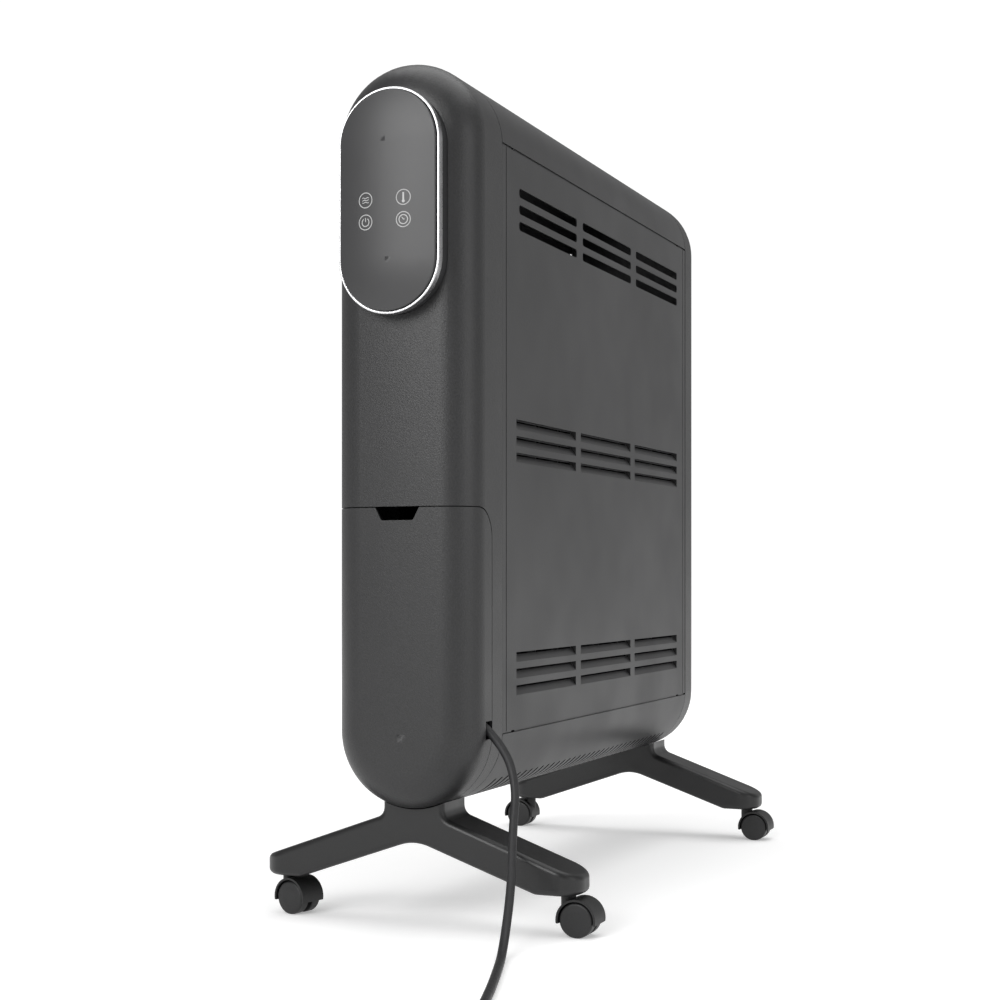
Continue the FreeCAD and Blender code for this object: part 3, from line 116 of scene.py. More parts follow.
# The plug's boot: the way it points in degrees, and its ribs in metres.
BOOT_HEADING = 193.9
RIB_START = 0.003
RIB_PITCH = 0.0035
RIB_THICKNESS = 0.0007
RIB_RADIUS = 0.0061
RIB_GROWTH = 0.0007
RIB_SIDES = 48
RIB_SECTION_SIDES = 12

# Each soft light's place, the point it faces, its width and its height, in metres.
LIGHTS = (
    ("front", (-0.50, -3.0, 1.65), (0.0, -0.3, 0.5), 2.0, 1.6),
    ("overhead", (0.2, 0.2, 2.7), (0.0, 0.1, 0.4), 2.6, 2.6),
    ("side", (2.8, -0.7, 1.0), (0.0, -0.2, 0.4), 1.5, 1.5),
    ("rear", (1.6, 3.2, 1.1), (0.0, 0.1, 0.4), 2.0, 2.0),
)
BACKDROP_STRENGTH = 1.05
# The floor's own light near the heater, and how far out it starts and stops changing.
NEAR_GLOW, GLOW_START, GLOW_END = 0.30, 0.4, 2.4


# Settings a user would change


class CasingSettings(bpy.types.PropertyGroup):
    cap_colour: bpy.props.FloatVectorProperty(
        name="Cap colour", description="Moulded end caps and cord door",
        subtype="COLOR", size=3, min=0.0, max=1.0, default=(0.014, 0.014, 0.0146))
    panel_colour: bpy.props.FloatVectorProperty(
        name="Sheet colour", description="Powder coat on the covers and side panels",
        subtype="COLOR", size=3, min=0.0, max=1.0, default=(0.017, 0.017, 0.0178))
    grain: bpy.props.FloatProperty(
        name="Grain", description="Size of the grain on the moulded caps",
        unit="LENGTH", default=0.0013, min=0.0003, max=0.005)


class TouchSettings(bpy.types.PropertyGroup):
    mark_ring: bpy.props.FloatProperty(
        name="Mark ring", description="Diameter of the ring round each touch mark",
        unit="LENGTH", default=0.0117, min=0.005, max=0.03)
    mark_line: bpy.props.FloatProperty(
        name="Mark line", description="Width of the printed lines",
        unit="LENGTH", default=0.0007, min=0.0003, max=0.003)
    mark_spread: bpy.props.FloatProperty(
        name="Mark spread", description="Distance from the middle to each column of marks",
        unit="LENGTH", default=0.0165, min=0.008, max=0.03)
    upper_row: bpy.props.FloatProperty(
        name="Upper row", description="Height of the upper row of marks above the floor",
        unit="LENGTH", default=0.5788, min=0.54, max=0.62)
    lower_row: bpy.props.FloatProperty(
        name="Lower row", description="Height of the lower row of marks above the floor",
        unit="LENGTH", default=0.5615, min=0.54, max=0.62)
    mark_colour: bpy.props.FloatVectorProperty(
        name="Mark colour", description="Printed touch marks",
        subtype="COLOR", size=3, min=0.0, max=1.0, default=(0.40, 0.40, 0.40))
    glass_colour: bpy.props.FloatVectorProperty(
        name="Glass colour", description="Smoked face of the touch control",
        subtype="COLOR", size=3, min=0.0, max=1.0, default=(0.024, 0.024, 0.025))


class LeadSettings(bpy.types.PropertyGroup):
    thickness: bpy.props.FloatProperty(
        name="Thickness", description="Diameter of the mains lead",
        unit="LENGTH", default=0.007, min=0.004, max=0.012)
    length: bpy.props.FloatProperty(
        name="Length", description="Stated length of the mains lead; it doesn't change the laid path",
        unit="LENGTH", default=1.80, min=0.5, max=5.0)
    boot_ribs: bpy.props.IntProperty(
        name="Boot ribs", description="Ribs round the plug's boot", default=5, min=0, max=12)


class FootSettings(bpy.types.PropertyGroup):
    foot_colour: bpy.props.FloatVectorProperty(
        name="Foot colour", description="Satin moulding of both feet",
        subtype="COLOR", size=3, min=0.0, max=1.0, default=(0.006, 0.006, 0.0063))
    castor_colour: bpy.props.FloatVectorProperty(
        name="Castor colour", description="Nylon of the castor hoods and wheels",
        subtype="COLOR", size=3, min=0.0, max=1.0, default=(0.006, 0.006, 0.0063))


class StudioSettings(bpy.types.PropertyGroup):
    floor_width: bpy.props.FloatProperty(
        name="Floor width", description="Width of the studio floor",
        unit="LENGTH", default=24.0, min=4.0, max=100.0)
    front: bpy.props.FloatProperty(
        name="Front light", description="Softbox in front of the heater, above it",
        unit="POWER", default=58.0, min=0.0, max=1000.0)
    overhead: bpy.props.FloatProperty(
        name="Overhead light", description="Softbox above the heater",
        unit="POWER", default=40.0, min=0.0, max=1000.0)
    side: bpy.props.FloatProperty(
        name="Side light", description="Softbox to the right of the heater",
        unit="POWER", default=12.0, min=0.0, max=1000.0)
    rear: bpy.props.FloatProperty(
        name="Rear light", description="Softbox behind the heater, to its right",
        unit="POWER", default=3.0, min=0.0, max=1000.0)
    room: bpy.props.FloatProperty(
        name="Room light", description="Even light from all round", default=0.38, min=0.0, max=5.0)
    glow: bpy.props.FloatProperty(
        name="Floor glow", description="Light from under the floor, away from the heater",
        default=0.70, min=0.0, max=2.0)


# Building blocks for the finishes


def start_finish(name, colour, roughness, metal=0.0):
    """A material with plain values on its shader, and the object's own coordinates."""
    material = bpy.data.materials.new(name)
    material.use_nodes = True
    material.diffuse_color = (*colour, 1.0)
    tree = material.node_tree
    shader = tree.nodes["Principled BSDF"]
    shader.inputs["Base Color"].default_value = (*colour, 1.0)
    shader.inputs["Roughness"].default_value = roughness
    shader.inputs["Metallic"].default_value = metal
    place = tree.nodes.new("ShaderNodeTexCoord")
    return material, tree, shader, place.outputs["Object"]


def speckle(tree, place, size, detail=3.0, rough=0.6):
    """Even grain whose spots are about size across."""
    noise = tree.nodes.new("ShaderNodeTexNoise")
    noise.inputs["Scale"].default_value = 1.0 / size
    noise.inputs["Detail"].default_value = detail
    noise.inputs["Roughness"].default_value = rough
    tree.links.new(place, noise.inputs["Vector"])
    return noise.outputs["Fac"]


def stretched(tree, place, along):
    """The same coordinates, squeezed so that a grain runs in one direction."""
    mapping = tree.nodes.new("ShaderNodeMapping")
    mapping.inputs["Scale"].default_value = along
    tree.links.new(place, mapping.inputs["Vector"])
    return mapping.outputs["Vector"]


def spread(tree, value, low, high, start=0.35, end=0.65):
    """A grain's values turned into a range."""
    ramp = tree.nodes.new("ShaderNodeMapRange")
    ramp.inputs["From Min"].default_value = start
    ramp.inputs["From Max"].default_value = end
    ramp.inputs["To Min"].default_value = low
    ramp.inputs["To Max"].default_value = high
    tree.links.new(value, ramp.inputs["Value"])
    return ramp.outputs["Result"]


def two_tone(tree, shader, factor, dark, light):
    """The base colour, moving between two tones with a factor from 0 to 1."""
    mix = tree.nodes.new("ShaderNodeMix")
    mix.data_type = "RGBA"
    mix.inputs[MIX_DARK].default_value = (*dark, 1.0)
    mix.inputs[MIX_LIGHT].default_value = (*light, 1.0)
    tree.links.new(factor, mix.inputs[MIX_FACTOR])
    tree.links.new(mix.outputs[MIX_RESULT], shader.inputs["Base Color"])


def shade(colour, factor):
    """A darker or lighter tone of a colour."""
    return tuple(min(1.0, value * factor) for value in colour)


def relief(tree, shader, layers):
    """Bumps laid one on another: each is a height, its depth in metres and its strength."""
    normal = None
    for height, depth, strength in layers:
        bump = tree.nodes.new("ShaderNodeBump")
        bump.inputs["Strength"].default_value = strength
        bump.inputs["Distance"].default_value = depth
        tree.links.new(height, bump.inputs["Height"])
        if normal is not None:
            tree.links.new(normal, bump.inputs["Normal"])
        normal = bump.outputs["Normal"]
    tree.links.new(normal, shader.inputs["Normal"])


# The heater's finishes


def grained_cap_plastic(colour, grain):
    """Matt charcoal moulding with a fine eroded grain."""
    material, tree, shader, place = start_finish("grained_cap_plastic", colour, 0.40)
    coarse = speckle(tree, place, grain, 2.0)
    fine = speckle(tree, place, grain / 3.0, 2.0)
    broad = speckle(tree, place, 0.09, 2.0)
    tone = spread(tree, coarse, 0.0, 1.0, 0.3, 0.7)
    two_tone(tree, shader, tone, shade(colour, 0.72), shade(colour, 1.30))
    tree.links.new(spread(tree, broad, 0.37, 0.43), shader.inputs["Roughness"])
    relief(tree, shader, ((coarse, 0.00020, 0.9), (fine, 0.00006, 0.6)))
    return material


def powder_coated_sheet(colour):
    """Charcoal powder coat: slightly rippled, with a fine sparkle of roughness."""
    material, tree, shader, place = start_finish("powder_coated_sheet", colour, 0.45)
    ripple = speckle(tree, place, 0.0022, 1.5)
    fine = speckle(tree, place, 0.0006, 2.0)
    broad = speckle(tree, place, 0.12, 2.0)
    two_tone(tree, shader, spread(tree, fine, 0.0, 1.0), shade(colour, 0.90), shade(colour, 1.12))
    tree.links.new(spread(tree, broad, 0.40, 0.48), shader.inputs["Roughness"])
    relief(tree, shader, ((ripple, 0.00008, 0.5), (fine, 0.00003, 0.5)))
    return material


def smoked_touch_glass(colour):
    """Dark printed panel under a clear satin face."""
    material, tree, shader, place = start_finish("smoked_touch_glass", colour, 0.40)
    cloud = speckle(tree, place, 0.05, 2.0)
    haze = speckle(tree, place, 0.0009, 2.0)
    two_tone(tree, shader, spread(tree, cloud, 0.0, 1.0), shade(colour, 0.95), shade(colour, 1.06))
    tree.links.new(spread(tree, haze, 0.37, 0.43), shader.inputs["Roughness"])
    shader.inputs["Coat Weight"].default_value = 0.10
    shader.inputs["Coat Roughness"].default_value = 0.30
    relief(tree, shader, ((cloud, 0.00004, 0.2),))
    return material


def satin_ring_metal(colour):
    """Bright anodised metal, finely brushed round the ring."""
    material, tree, shader, place = start_finish("satin_ring_metal", colour, 0.26, 1.0)
    drawn = speckle(tree, stretched(tree, place, (0.12, 6.0, 0.12)), 0.0008, 2.0)
    broad = speckle(tree, place, 0.02, 2.0)
    two_tone(tree, shader, spread(tree, drawn, 0.0, 1.0), shade(colour, 0.90), shade(colour, 1.05))
    tree.links.new(spread(tree, broad, 0.22, 0.32), shader.inputs["Roughness"])
    relief(tree, shader, ((drawn, 0.00002, 0.4),))
    return material


def satin_moulding(name, colour, size, low, high, depth):
    """Smooth black moulding with a faint surface grain."""
    material, tree, shader, place = start_finish(name, colour, (low + high) / 2)
    grain = speckle(tree, place, size, 2.0)
    broad = speckle(tree, place, 0.03, 2.0)
    two_tone(tree, shader, spread(tree, grain, 0.0, 1.0), shade(colour, 0.80), shade(colour, 1.25))
    tree.links.new(spread(tree, broad, low, high), shader.inputs["Roughness"])
    relief(tree, shader, ((grain, depth, 0.6),))
    return material


def plated_metal(name, colour, low, high, size):
    """Plated steel or brass with faint blotches in its shine."""
    material, tree, shader, place = start_finish(name, colour, (low + high) / 2, 1.0)
    blotch = speckle(tree, place, size, 3.0)
    scratch = speckle(tree, stretched(tree, place, (1.0, 1.0, 0.05)), 0.0006, 2.0)
    two_tone(tree, shader, spread(tree, blotch, 0.0, 1.0), shade(colour, 0.84), shade(colour, 1.08))
    tree.links.new(spread(tree, blotch, low, high), shader.inputs["Roughness"])
    relief(tree, shader, ((scratch, 0.00002, 0.4),))
    return material


def green_board(colour):
    """Green lacquer over copper tracks and pads."""
    material, tree, shader, place = start_finish("green_board", colour, 0.4)
    tracks = tree.nodes.new("ShaderNodeTexBrick")
    tracks.inputs["Scale"].default_value = 90.0
    tracks.inputs["Mortar Size"].default_value = 0.05
    tracks.inputs["Color1"].default_value = (*colour, 1.0)
    tracks.inputs["Color2"].default_value = (*shade(colour, 0.85), 1.0)
    tracks.inputs["Mortar"].default_value = (*shade(colour, 2.0), 1.0)
    mapping = tree.nodes.new("ShaderNodeMapping")
    mapping.inputs["Rotation"].default_value = (math.radians(90), 0.0, 0.0)
    tree.links.new(place, mapping.inputs["Vector"])
    tree.links.new(mapping.outputs["Vector"], tracks.inputs["Vector"])
    tree.links.new(tracks.outputs["Color"], shader.inputs["Base Color"])
    tree.links.new(spread(tree, tracks.outputs["Fac"], 0.35, 0.5, 0.0, 1.0), shader.inputs["Roughness"])
    relief(tree, shader, ((tracks.outputs["Fac"], 0.00004, 0.6),))
    return material


def printed_mark(colour):
    """Pale ink of the touch marks."""
    material, tree, shader, place = start_finish("printed_mark", colour, 0.45)
    ink = speckle(tree, place, 0.0005, 2.0)
    two_tone(tree, shader, spread(tree, ink, 0.0, 1.0), shade(colour, 0.92), shade(colour, 1.06))
    tree.links.new(spread(tree, ink, 0.40, 0.50), shader.inputs["Roughness"])
    relief(tree, shader, ((ink, 0.00001, 0.4),))
    return material


def lead_sheath(colour):
    """Matt black rubber sheath, faintly drawn along its length."""
    material, tree, shader, place = start_finish("lead_sheath", colour, 0.55)
    bloom = speckle(tree, place, 0.006, 3.0)
    fine = speckle(tree, place, 0.0007, 2.0)
    two_tone(tree, shader, spread(tree, bloom, 0.0, 1.0), shade(colour, 0.80), shade(colour, 1.35))
    tree.links.new(spread(tree, bloom, 0.48, 0.62), shader.inputs["Roughness"])
    relief(tree, shader, ((fine, 0.00006, 0.6),))
    return material


def studio_floor(glow):
    """Pale seamless floor with the faintest mottle, glowing with painted light that is weaker near the
    heater.
    """
    material, tree, shader, place = start_finish("studio_floor", (0.9, 0.9, 0.9), 0.9)
    mottle = speckle(tree, place, 0.4, 2.0)
    two_tone(tree, shader, spread(tree, mottle, 0.0, 1.0), (0.895, 0.895, 0.895), (0.905, 0.905, 0.905))
    shader.inputs["Specular IOR Level"].default_value = 0.0
    shader.inputs["Emission Color"].default_value = (1.0, 1.0, 1.0, 1.0)
    away = tree.nodes.new("ShaderNodeVectorMath")
    away.operation = "LENGTH"
    tree.links.new(place, away.inputs[0])
    # Painted glow: the floor emits light, weakest near the heater and strongest far out.
    strength = spread(tree, away.outputs["Value"], NEAR_GLOW, glow, GLOW_START, GLOW_END)
    tree.links.new(strength, shader.inputs["Emission Strength"])
    return material


def coat_nodes(finishes):
    """Gives each of the heater's pieces in these slots its finish."""
    for node, piece in frame["nodes"].items():
        material = finishes.get(SLOT_OF[node])
        if material is not None:
            for slot in piece.material_slots:
                slot.material = material


def even_shading(*nodes):
    """Shades these pieces by the size of their faces, so that their small ones show less."""
    for node in nodes:
        frame["nodes"][node].modifiers.new("Even shading", "WEIGHTED_NORMAL").weight = 90


# Mesh code


def keep_piece(name, mesh, material, body):
    """A finished mesh as a piece that rides on one of the heater's bodies."""
    piece = bpy.data.objects.new(name, mesh)
    bpy.context.scene.collection.objects.link(piece)
    if not mesh.materials:
        mesh.materials.append(material)
    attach(piece, body)
    return piece


def glass_face(x):
    """How far forward the domed glass stands at x, as a place along Y."""
    return GLASS_FRONT + DOME_RADIUS - math.sqrt(DOME_RADIUS * DOME_RADIUS - x * x)


def printed_line(builder, points, width, middle, closed=False):
    """A line of ink that follows points on the glass: x and z from a mark's middle."""
    under, over = 0.00004, -0.00007
    count = len(points)
    sections = []
    for index, (x, z) in enumerate(points):
        if closed:
            before, after = points[index - 1], points[(index + 1) % count]
        else:
            before, after = points[max(index - 1, 0)], points[min(index + 1, count - 1)]
        along = Vector((after[0] - before[0], after[1] - before[1])).normalized()
        side = Vector((-along.y, along.x)) * width / 2
        corners = []
        for sign, lift in ((-1, under), (1, under), (1, over), (-1, over)):
            px = middle[0] + x + side.x * sign
            pz = middle[1] + z + side.y * sign
            corners.append(builder.verts.new((px, glass_face(px) + lift, pz)))
        sections.append(corners)
    spans = count if closed else count - 1
    for index in range(spans):
        here, there = sections[index], sections[(index + 1) % count]
        for edge in range(4):
            after = (edge + 1) % 4
            builder.faces.new((here[edge], here[after], there[after], there[edge]))
    if not closed:
        builder.faces.new(sections[0])
        builder.faces.new(tuple(reversed(sections[-1])))


def arc_points(radius, start, end, steps):
    """Points round an arc, with angles in degrees from the right."""
    turns = [math.radians(start + (end - start) * step / steps) for step in range(steps + 1)]
    return [(radius * math.cos(turn), radius * math.sin(turn)) for turn in turns]


def heat_waves(builder, middle, line):
    """Three rising waves of warm air."""
    for row in (-1, 0, 1):
        points = []
        for step in range(WAVE_STEPS + 1):
            along = -1.0 + 2.0 * step / WAVE_STEPS
            lift = 0.35 * math.cos(along * 1.5 * math.pi + 0.5 * math.pi * (row + 1))
            points.append((along * 2.9 * MM, (1.75 * row + lift) * MM))
        printed_line(builder, points, line * 0.75, middle)


def warmth_bar(builder, middle, line):
    """An upright bar that widens into a rounded bulb at its foot."""
    printed_line(builder, [(0.0, 3.7 * MM), (0.0, 0.5 * MM), (0.0, -2.6 * MM)], line * 1.9, middle)
    printed_line(builder, arc_points(0.55 * MM, -90, 270, 20)[:-1], 1.3 * MM,
                 (middle[0], middle[1] - 3.1 * MM), closed=True)


def power_sign(builder, middle, line):
    """A ring open at its top, with an upright stroke in the gap."""
    printed_line(builder, arc_points(3.15 * MM, 122, 418, 36), line, middle)
    printed_line(builder, [(0.0, 3.6 * MM), (0.0, 2.0 * MM), (0.0, 0.3 * MM)], line * 0.9, middle)


def clock_face(builder, middle, line):
    """A round clock with two hands."""
    printed_line(builder, arc_points(3.55 * MM, 0, 360, 40)[:-1], line, middle, closed=True)
    long_hand = [(-1.3 * MM, 1.9 * MM), (-0.6 * MM, 0.95 * MM), (0.1 * MM, 0.0)]
    short_hand = [(-0.3 * MM, 0.2 * MM), (0.4 * MM, 0.1 * MM), (1.0 * MM, 0.0)]
    printed_line(builder, long_hand, line * 0.8, middle)
    printed_line(builder, short_hand, line * 1.1, middle)


# Node trees for what repeats


def new_tree(name):
    """An empty node tree that gives out geometry."""
    tree = bpy.data.node_groups.new(name, "GeometryNodeTree")
    tree.interface.new_socket(name="Geometry", in_out="OUTPUT", socket_type="NodeSocketGeometry")
    return tree


def add_input(tree, name, kind):
    """A named input on a tree. What comes back is the key that a modifier knows it by."""
    return tree.interface.new_socket(name=name, in_out="INPUT", socket_type=kind).identifier


def work_out(tree, operation, first, second=None):
    """One step of arithmetic; each value is a socket or a number, and a root has only one."""
    step = tree.nodes.new("ShaderNodeMath")
    step.operation = operation
    for index, value in enumerate((first, second)):
        if isinstance(value, (int, float)):
            step.inputs[index].default_value = value
        elif value is not None:
            tree.links.new(value, step.inputs[index])
    return step.outputs[0]


def mark_ring_tree(material):
    """A ring of ink round every point it is given, pressed onto the domed glass."""
    tree = new_tree("mark_rings")
    add_input(tree, "Ring Middles", "NodeSocketGeometry")
    names = {
        "radius": add_input(tree, "Ring Radius", "NodeSocketFloat"),
        "line": add_input(tree, "Line Width", "NodeSocketFloat"),
        "dome": add_input(tree, "Dome Radius", "NodeSocketFloat"),
        "apex": add_input(tree, "Dome Front", "NodeSocketFloat"),
    }
    given = tree.nodes.new("NodeGroupInput")
    circle = tree.nodes.new("GeometryNodeCurvePrimitiveCircle")
    circle.inputs["Resolution"].default_value = RING_SIDES
    tree.links.new(given.outputs["Ring Radius"], circle.inputs["Radius"])
    section = tree.nodes.new("GeometryNodeCurvePrimitiveQuadrilateral")
    tree.links.new(given.outputs["Line Width"], section.inputs["Width"])
    section.inputs["Height"].default_value = RING_INK_DEPTH
    ring = tree.nodes.new("GeometryNodeCurveToMesh")
    tree.links.new(circle.outputs["Curve"], ring.inputs["Curve"])
    tree.links.new(section.outputs["Curve"], ring.inputs["Profile Curve"])
    upright = tree.nodes.new("GeometryNodeTransform")
    upright.inputs["Rotation"].default_value = (math.radians(90), 0.0, 0.0)
    tree.links.new(ring.outputs["Mesh"], upright.inputs["Geometry"])
    copies = tree.nodes.new("GeometryNodeInstanceOnPoints")
    tree.links.new(given.outputs["Ring Middles"], copies.inputs["Points"])
    tree.links.new(upright.outputs["Geometry"], copies.inputs["Instance"])
    real = tree.nodes.new("GeometryNodeRealizeInstances")
    tree.links.new(copies.outputs["Instances"], real.inputs["Geometry"])
    where = tree.nodes.new("GeometryNodeInputPosition")
    parts = tree.nodes.new("ShaderNodeSeparateXYZ")
    tree.links.new(where.outputs["Position"], parts.inputs["Vector"])
    dome = given.outputs["Dome Radius"]
    across = work_out(tree, "MULTIPLY", parts.outputs["X"], parts.outputs["X"])
    squared = work_out(tree, "SUBTRACT", work_out(tree, "MULTIPLY", dome, dome), across)
    fall = work_out(tree, "SUBTRACT", dome, work_out(tree, "SQRT", squared))
    surface = work_out(tree, "ADD", fall, given.outputs["Dome Front"])
    forward = work_out(tree, "ADD", parts.outputs["Y"], surface)
    joined = tree.nodes.new("ShaderNodeCombineXYZ")
    tree.links.new(parts.outputs["X"], joined.inputs["X"])
    tree.links.new(forward, joined.inputs["Y"])
    tree.links.new(parts.outputs["Z"], joined.inputs["Z"])
    pressed = tree.nodes.new("GeometryNodeSetPosition")
    tree.links.new(real.outputs["Geometry"], pressed.inputs["Geometry"])
    tree.links.new(joined.outputs["Vector"], pressed.inputs["Position"])
    coated = tree.nodes.new("GeometryNodeSetMaterial")
    coated.inputs["Material"].default_value = material
    tree.links.new(pressed.outputs["Geometry"], coated.inputs["Geometry"])
    out = tree.nodes.new("NodeGroupOutput")
    tree.links.new(coated.outputs["Geometry"], out.inputs[0])
    return tree, names


def rib_tree(material):
    """Round ribs strung along a line of points, each a little wider than the one before."""
    tree = new_tree("boot_ribs")
    add_input(tree, "Rib Middles", "NodeSocketGeometry")
    names = {
        "thick": add_input(tree, "Rib Thickness", "NodeSocketFloat"),
        "turn": add_input(tree, "Rib Turn", "NodeSocketVector"),
        "first": add_input(tree, "First Radius", "NodeSocketFloat"),
        "growth": add_input(tree, "Radius Growth", "NodeSocketFloat"),
    }
    given = tree.nodes.new("NodeGroupInput")
    index = tree.nodes.new("GeometryNodeInputIndex")
    grown = work_out(tree, "MULTIPLY", index.outputs["Index"], given.outputs["Radius Growth"])
    radius = work_out(tree, "ADD", given.outputs["First Radius"], grown)
    circle = tree.nodes.new("GeometryNodeCurvePrimitiveCircle")
    circle.inputs["Resolution"].default_value = RIB_SIDES
    circle.inputs["Radius"].default_value = 1.0
    copies = tree.nodes.new("GeometryNodeInstanceOnPoints")
    tree.links.new(given.outputs["Rib Middles"], copies.inputs["Points"])
    tree.links.new(circle.outputs["Curve"], copies.inputs["Instance"])
    tree.links.new(given.outputs["Rib Turn"], copies.inputs["Rotation"])
    tree.links.new(radius, copies.inputs["Scale"])
    real = tree.nodes.new("GeometryNodeRealizeInstances")
    tree.links.new(copies.outputs["Instances"], real.inputs["Geometry"])
    section = tree.nodes.new("GeometryNodeCurvePrimitiveCircle")
    section.inputs["Resolution"].default_value = RIB_SECTION_SIDES
    tree.links.new(given.outputs["Rib Thickness"], section.inputs["Radius"])
    ribs = tree.nodes.new("GeometryNodeCurveToMesh")
    tree.links.new(real.outputs["Geometry"], ribs.inputs["Curve"])
    tree.links.new(section.outputs["Curve"], ribs.inputs["Profile Curve"])
    coated = tree.nodes.new("GeometryNodeSetMaterial")
    coated.inputs["Material"].default_value = material
    tree.links.new(ribs.outputs["Mesh"], coated.inputs["Geometry"])
    out = tree.nodes.new("NodeGroupOutput")
    tree.links.new(coated.outputs["Geometry"], out.inputs[0])
    return tree, names


def grow(name, tree, points, values):
    """Runs a node tree on a few points and keeps the result as a plain mesh."""
    seeds = bpy.data.meshes.new(name + "_seeds")
    seeds.from_pydata(points, [], [])
    holder = bpy.data.objects.new(name + "_seeds", seeds)
    bpy.context.scene.collection.objects.link(holder)
    modifier = holder.modifiers.new("Grow", "NODES")
    modifier.node_group = tree
    for identifier, value in values.items():
        modifier[identifier] = value
    graph = bpy.context.evaluated_depsgraph_get()
    mesh = bpy.data.meshes.new_from_object(holder.evaluated_get(graph), depsgraph=graph)
    holder.modifiers.remove(modifier)
    bpy.data.objects.remove(holder)
    if not mesh.polygons:
        raise RuntimeError(f"{name} came out empty")
    mesh.name = name
    return mesh


# The mains lead


def smooth(value):
    """Eases from 0 to 1, and stays at either end."""
    value = min(1.0, max(0.0, value))
    return value * value * (3.0 - 2.0 * value)


def coil_points():
    """The lead's turns: three on the floor, from the outside in, and two and a bit on top of them.

    The turns run clockwise. Between two turns the lead steps over by its own thickness.
    """
    bulge = 1.0 / math.cos(math.pi / COIL_STEPS)
    total = 360.0 * COIL_TURNS
    count = round(total / 360.0 * COIL_STEPS)
    points = []
    for step in range(1, count):
        turned = total * step / count
        radius = COIL_RADIUS
        for begin, over, way in COIL_SHIFTS:
            radius += way * COIL_STEP_OVER * smooth((turned - begin) / over)
        height = COIL_LOW + COIL_STEP_OVER * smooth((turned - CLIMB_START) / CLIMB_OVER)
        angle = math.radians(COIL_START - turned)
        points.append((COIL_MIDDLE[0] + radius * bulge * math.cos(angle),
                       COIL_MIDDLE[1] + radius * bulge * math.sin(angle), height))
    return points


def mains_lead_curve(thickness):
    """The whole lead as one smooth line, from the cord opening to the plug."""
    points = [*LEAD_RUN, *coil_points(), *LEAD_TAIL]
    curve = bpy.data.curves.new("mains_lead", "CURVE")
    curve.dimensions = "3D"
    curve.bevel_depth = thickness / 2
    curve.bevel_resolution = 5
    curve.use_fill_caps = True
    curve.resolution_u = 8
    spline = curve.splines.new("NURBS")
    spline.points.add(len(points) - 1)
    for point, place in zip(spline.points, points):
        point.co = (*place, 1.0)
    spline.order_u = 3
    spline.use_endpoint_u = True
    return curve


# One operator for each piece or group of like pieces


class HEATER_OT_casing(bpy.types.Operator):
    """Finishes the moulded end caps, the cord door, the covers and the side panels"""
    bl_idname = "heater.casing"
    bl_label = "Casing"

    def execute(self, context):
        settings = context.scene.heater_casing
        coat_nodes({
            "cap_plastic": grained_cap_plastic(tuple(settings.cap_colour), settings.grain),
            "panel_paint": powder_coated_sheet(tuple(settings.panel_colour)),
            "tray_plastic": satin_moulding("matt_tray_plastic", (0.010, 0.010, 0.011),
                                           size=0.0010, low=0.55, high=0.65, depth=0.0001),
        })
        even_shading("front_cap", "cord_door", "rear_cap")
        self.fold_flanges()
        return {"FINISHED"}

    def fold_flanges(self):
        """The covers' folded edges, which close the seams above and below each side panel from inside."""
        paint = bpy.data.materials["powder_coated_sheet"]
        for node, side, name in (("side_panel_right", 1, "right"), ("side_panel_left", -1, "left")):
            low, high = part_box(node)
            face = max(abs(low.x), abs(high.x)) - FLANGE_INSET
            behind = face - FLANGE_SHEET
            deep = face - FLANGE_DEPTH
            builder = bmesh.new()
            for seam, step in ((high.z, 1), (low.z, -1)):
                past = seam + FLANGE_PAST * step
                back = seam - FLANGE_BACK * step
                crease = seam - FLANGE_CREASE * step
                section = [(face, back), (face, past), (behind, past),
                           (behind, crease), (deep, crease), (deep, back)]
                ends = [[builder.verts.new((side * x, y, z)) for x, z in section]
                        for y in (low.y + FLANGE_SHORT, high.y - FLANGE_SHORT)]
                count = len(section)
                for index in range(count):
                    after = (index + 1) % count
                    builder.faces.new((ends[0][index], ends[0][after], ends[1][after], ends[1][index]))
                builder.faces.new(ends[0])
                builder.faces.new(tuple(reversed(ends[1])))
            bmesh.ops.recalc_face_normals(builder, faces=builder.faces)
            mesh = bpy.data.meshes.new(f"seam_flange_{name}")
            builder.to_mesh(mesh)
            builder.free()
            keep_piece(f"seam_flange_{name}", mesh, paint, "root")


class HEATER_OT_touch_control(bpy.types.Operator):
    """Finishes the metal ring and the smoked glass, and prints the four touch marks on it"""
    bl_idname = "heater.touch_control"
    bl_label = "Touch Control"

    def execute(self, context):
        settings = context.scene.heater_touch
        ink = printed_mark(tuple(settings.mark_colour))
        coat_nodes({
            "touch_glass": smoked_touch_glass(tuple(settings.glass_colour)),
            "ring_metal": satin_ring_metal((0.60, 0.60, 0.61)),
        })
        even_shading("touch_glass")
        left, right = -settings.mark_spread - MARKS_ASIDE, settings.mark_spread - MARKS_ASIDE
        middles = [(left, settings.upper_row), (right, settings.upper_row),
                   (left, settings.lower_row), (right, settings.lower_row)]
        tree, names = mark_ring_tree(ink)
        rings = grow("touch_mark_rings", tree, [(x, -RING_LIFT, z) for x, z in middles], {
            names["radius"]: settings.mark_ring / 2,
            names["line"]: settings.mark_line,
            names["dome"]: DOME_RADIUS,
            names["apex"]: GLASS_FRONT,
        })
        keep_piece("touch_mark_rings", rings, ink, "root")
        for name, draw, middle in zip(("waves", "bar", "power", "clock"),
                                      (heat_waves, warmth_bar, power_sign, clock_face), middles):
            builder = bmesh.new()
            draw(builder, middle, settings.mark_line)
            bmesh.ops.recalc_face_normals(builder, faces=builder.faces)
            mesh = bpy.data.meshes.new(f"touch_mark_{name}")
            builder.to_mesh(mesh)
            builder.free()
            keep_piece(f"touch_mark_{name}", mesh, ink, "root")
        return {"FINISHED"}


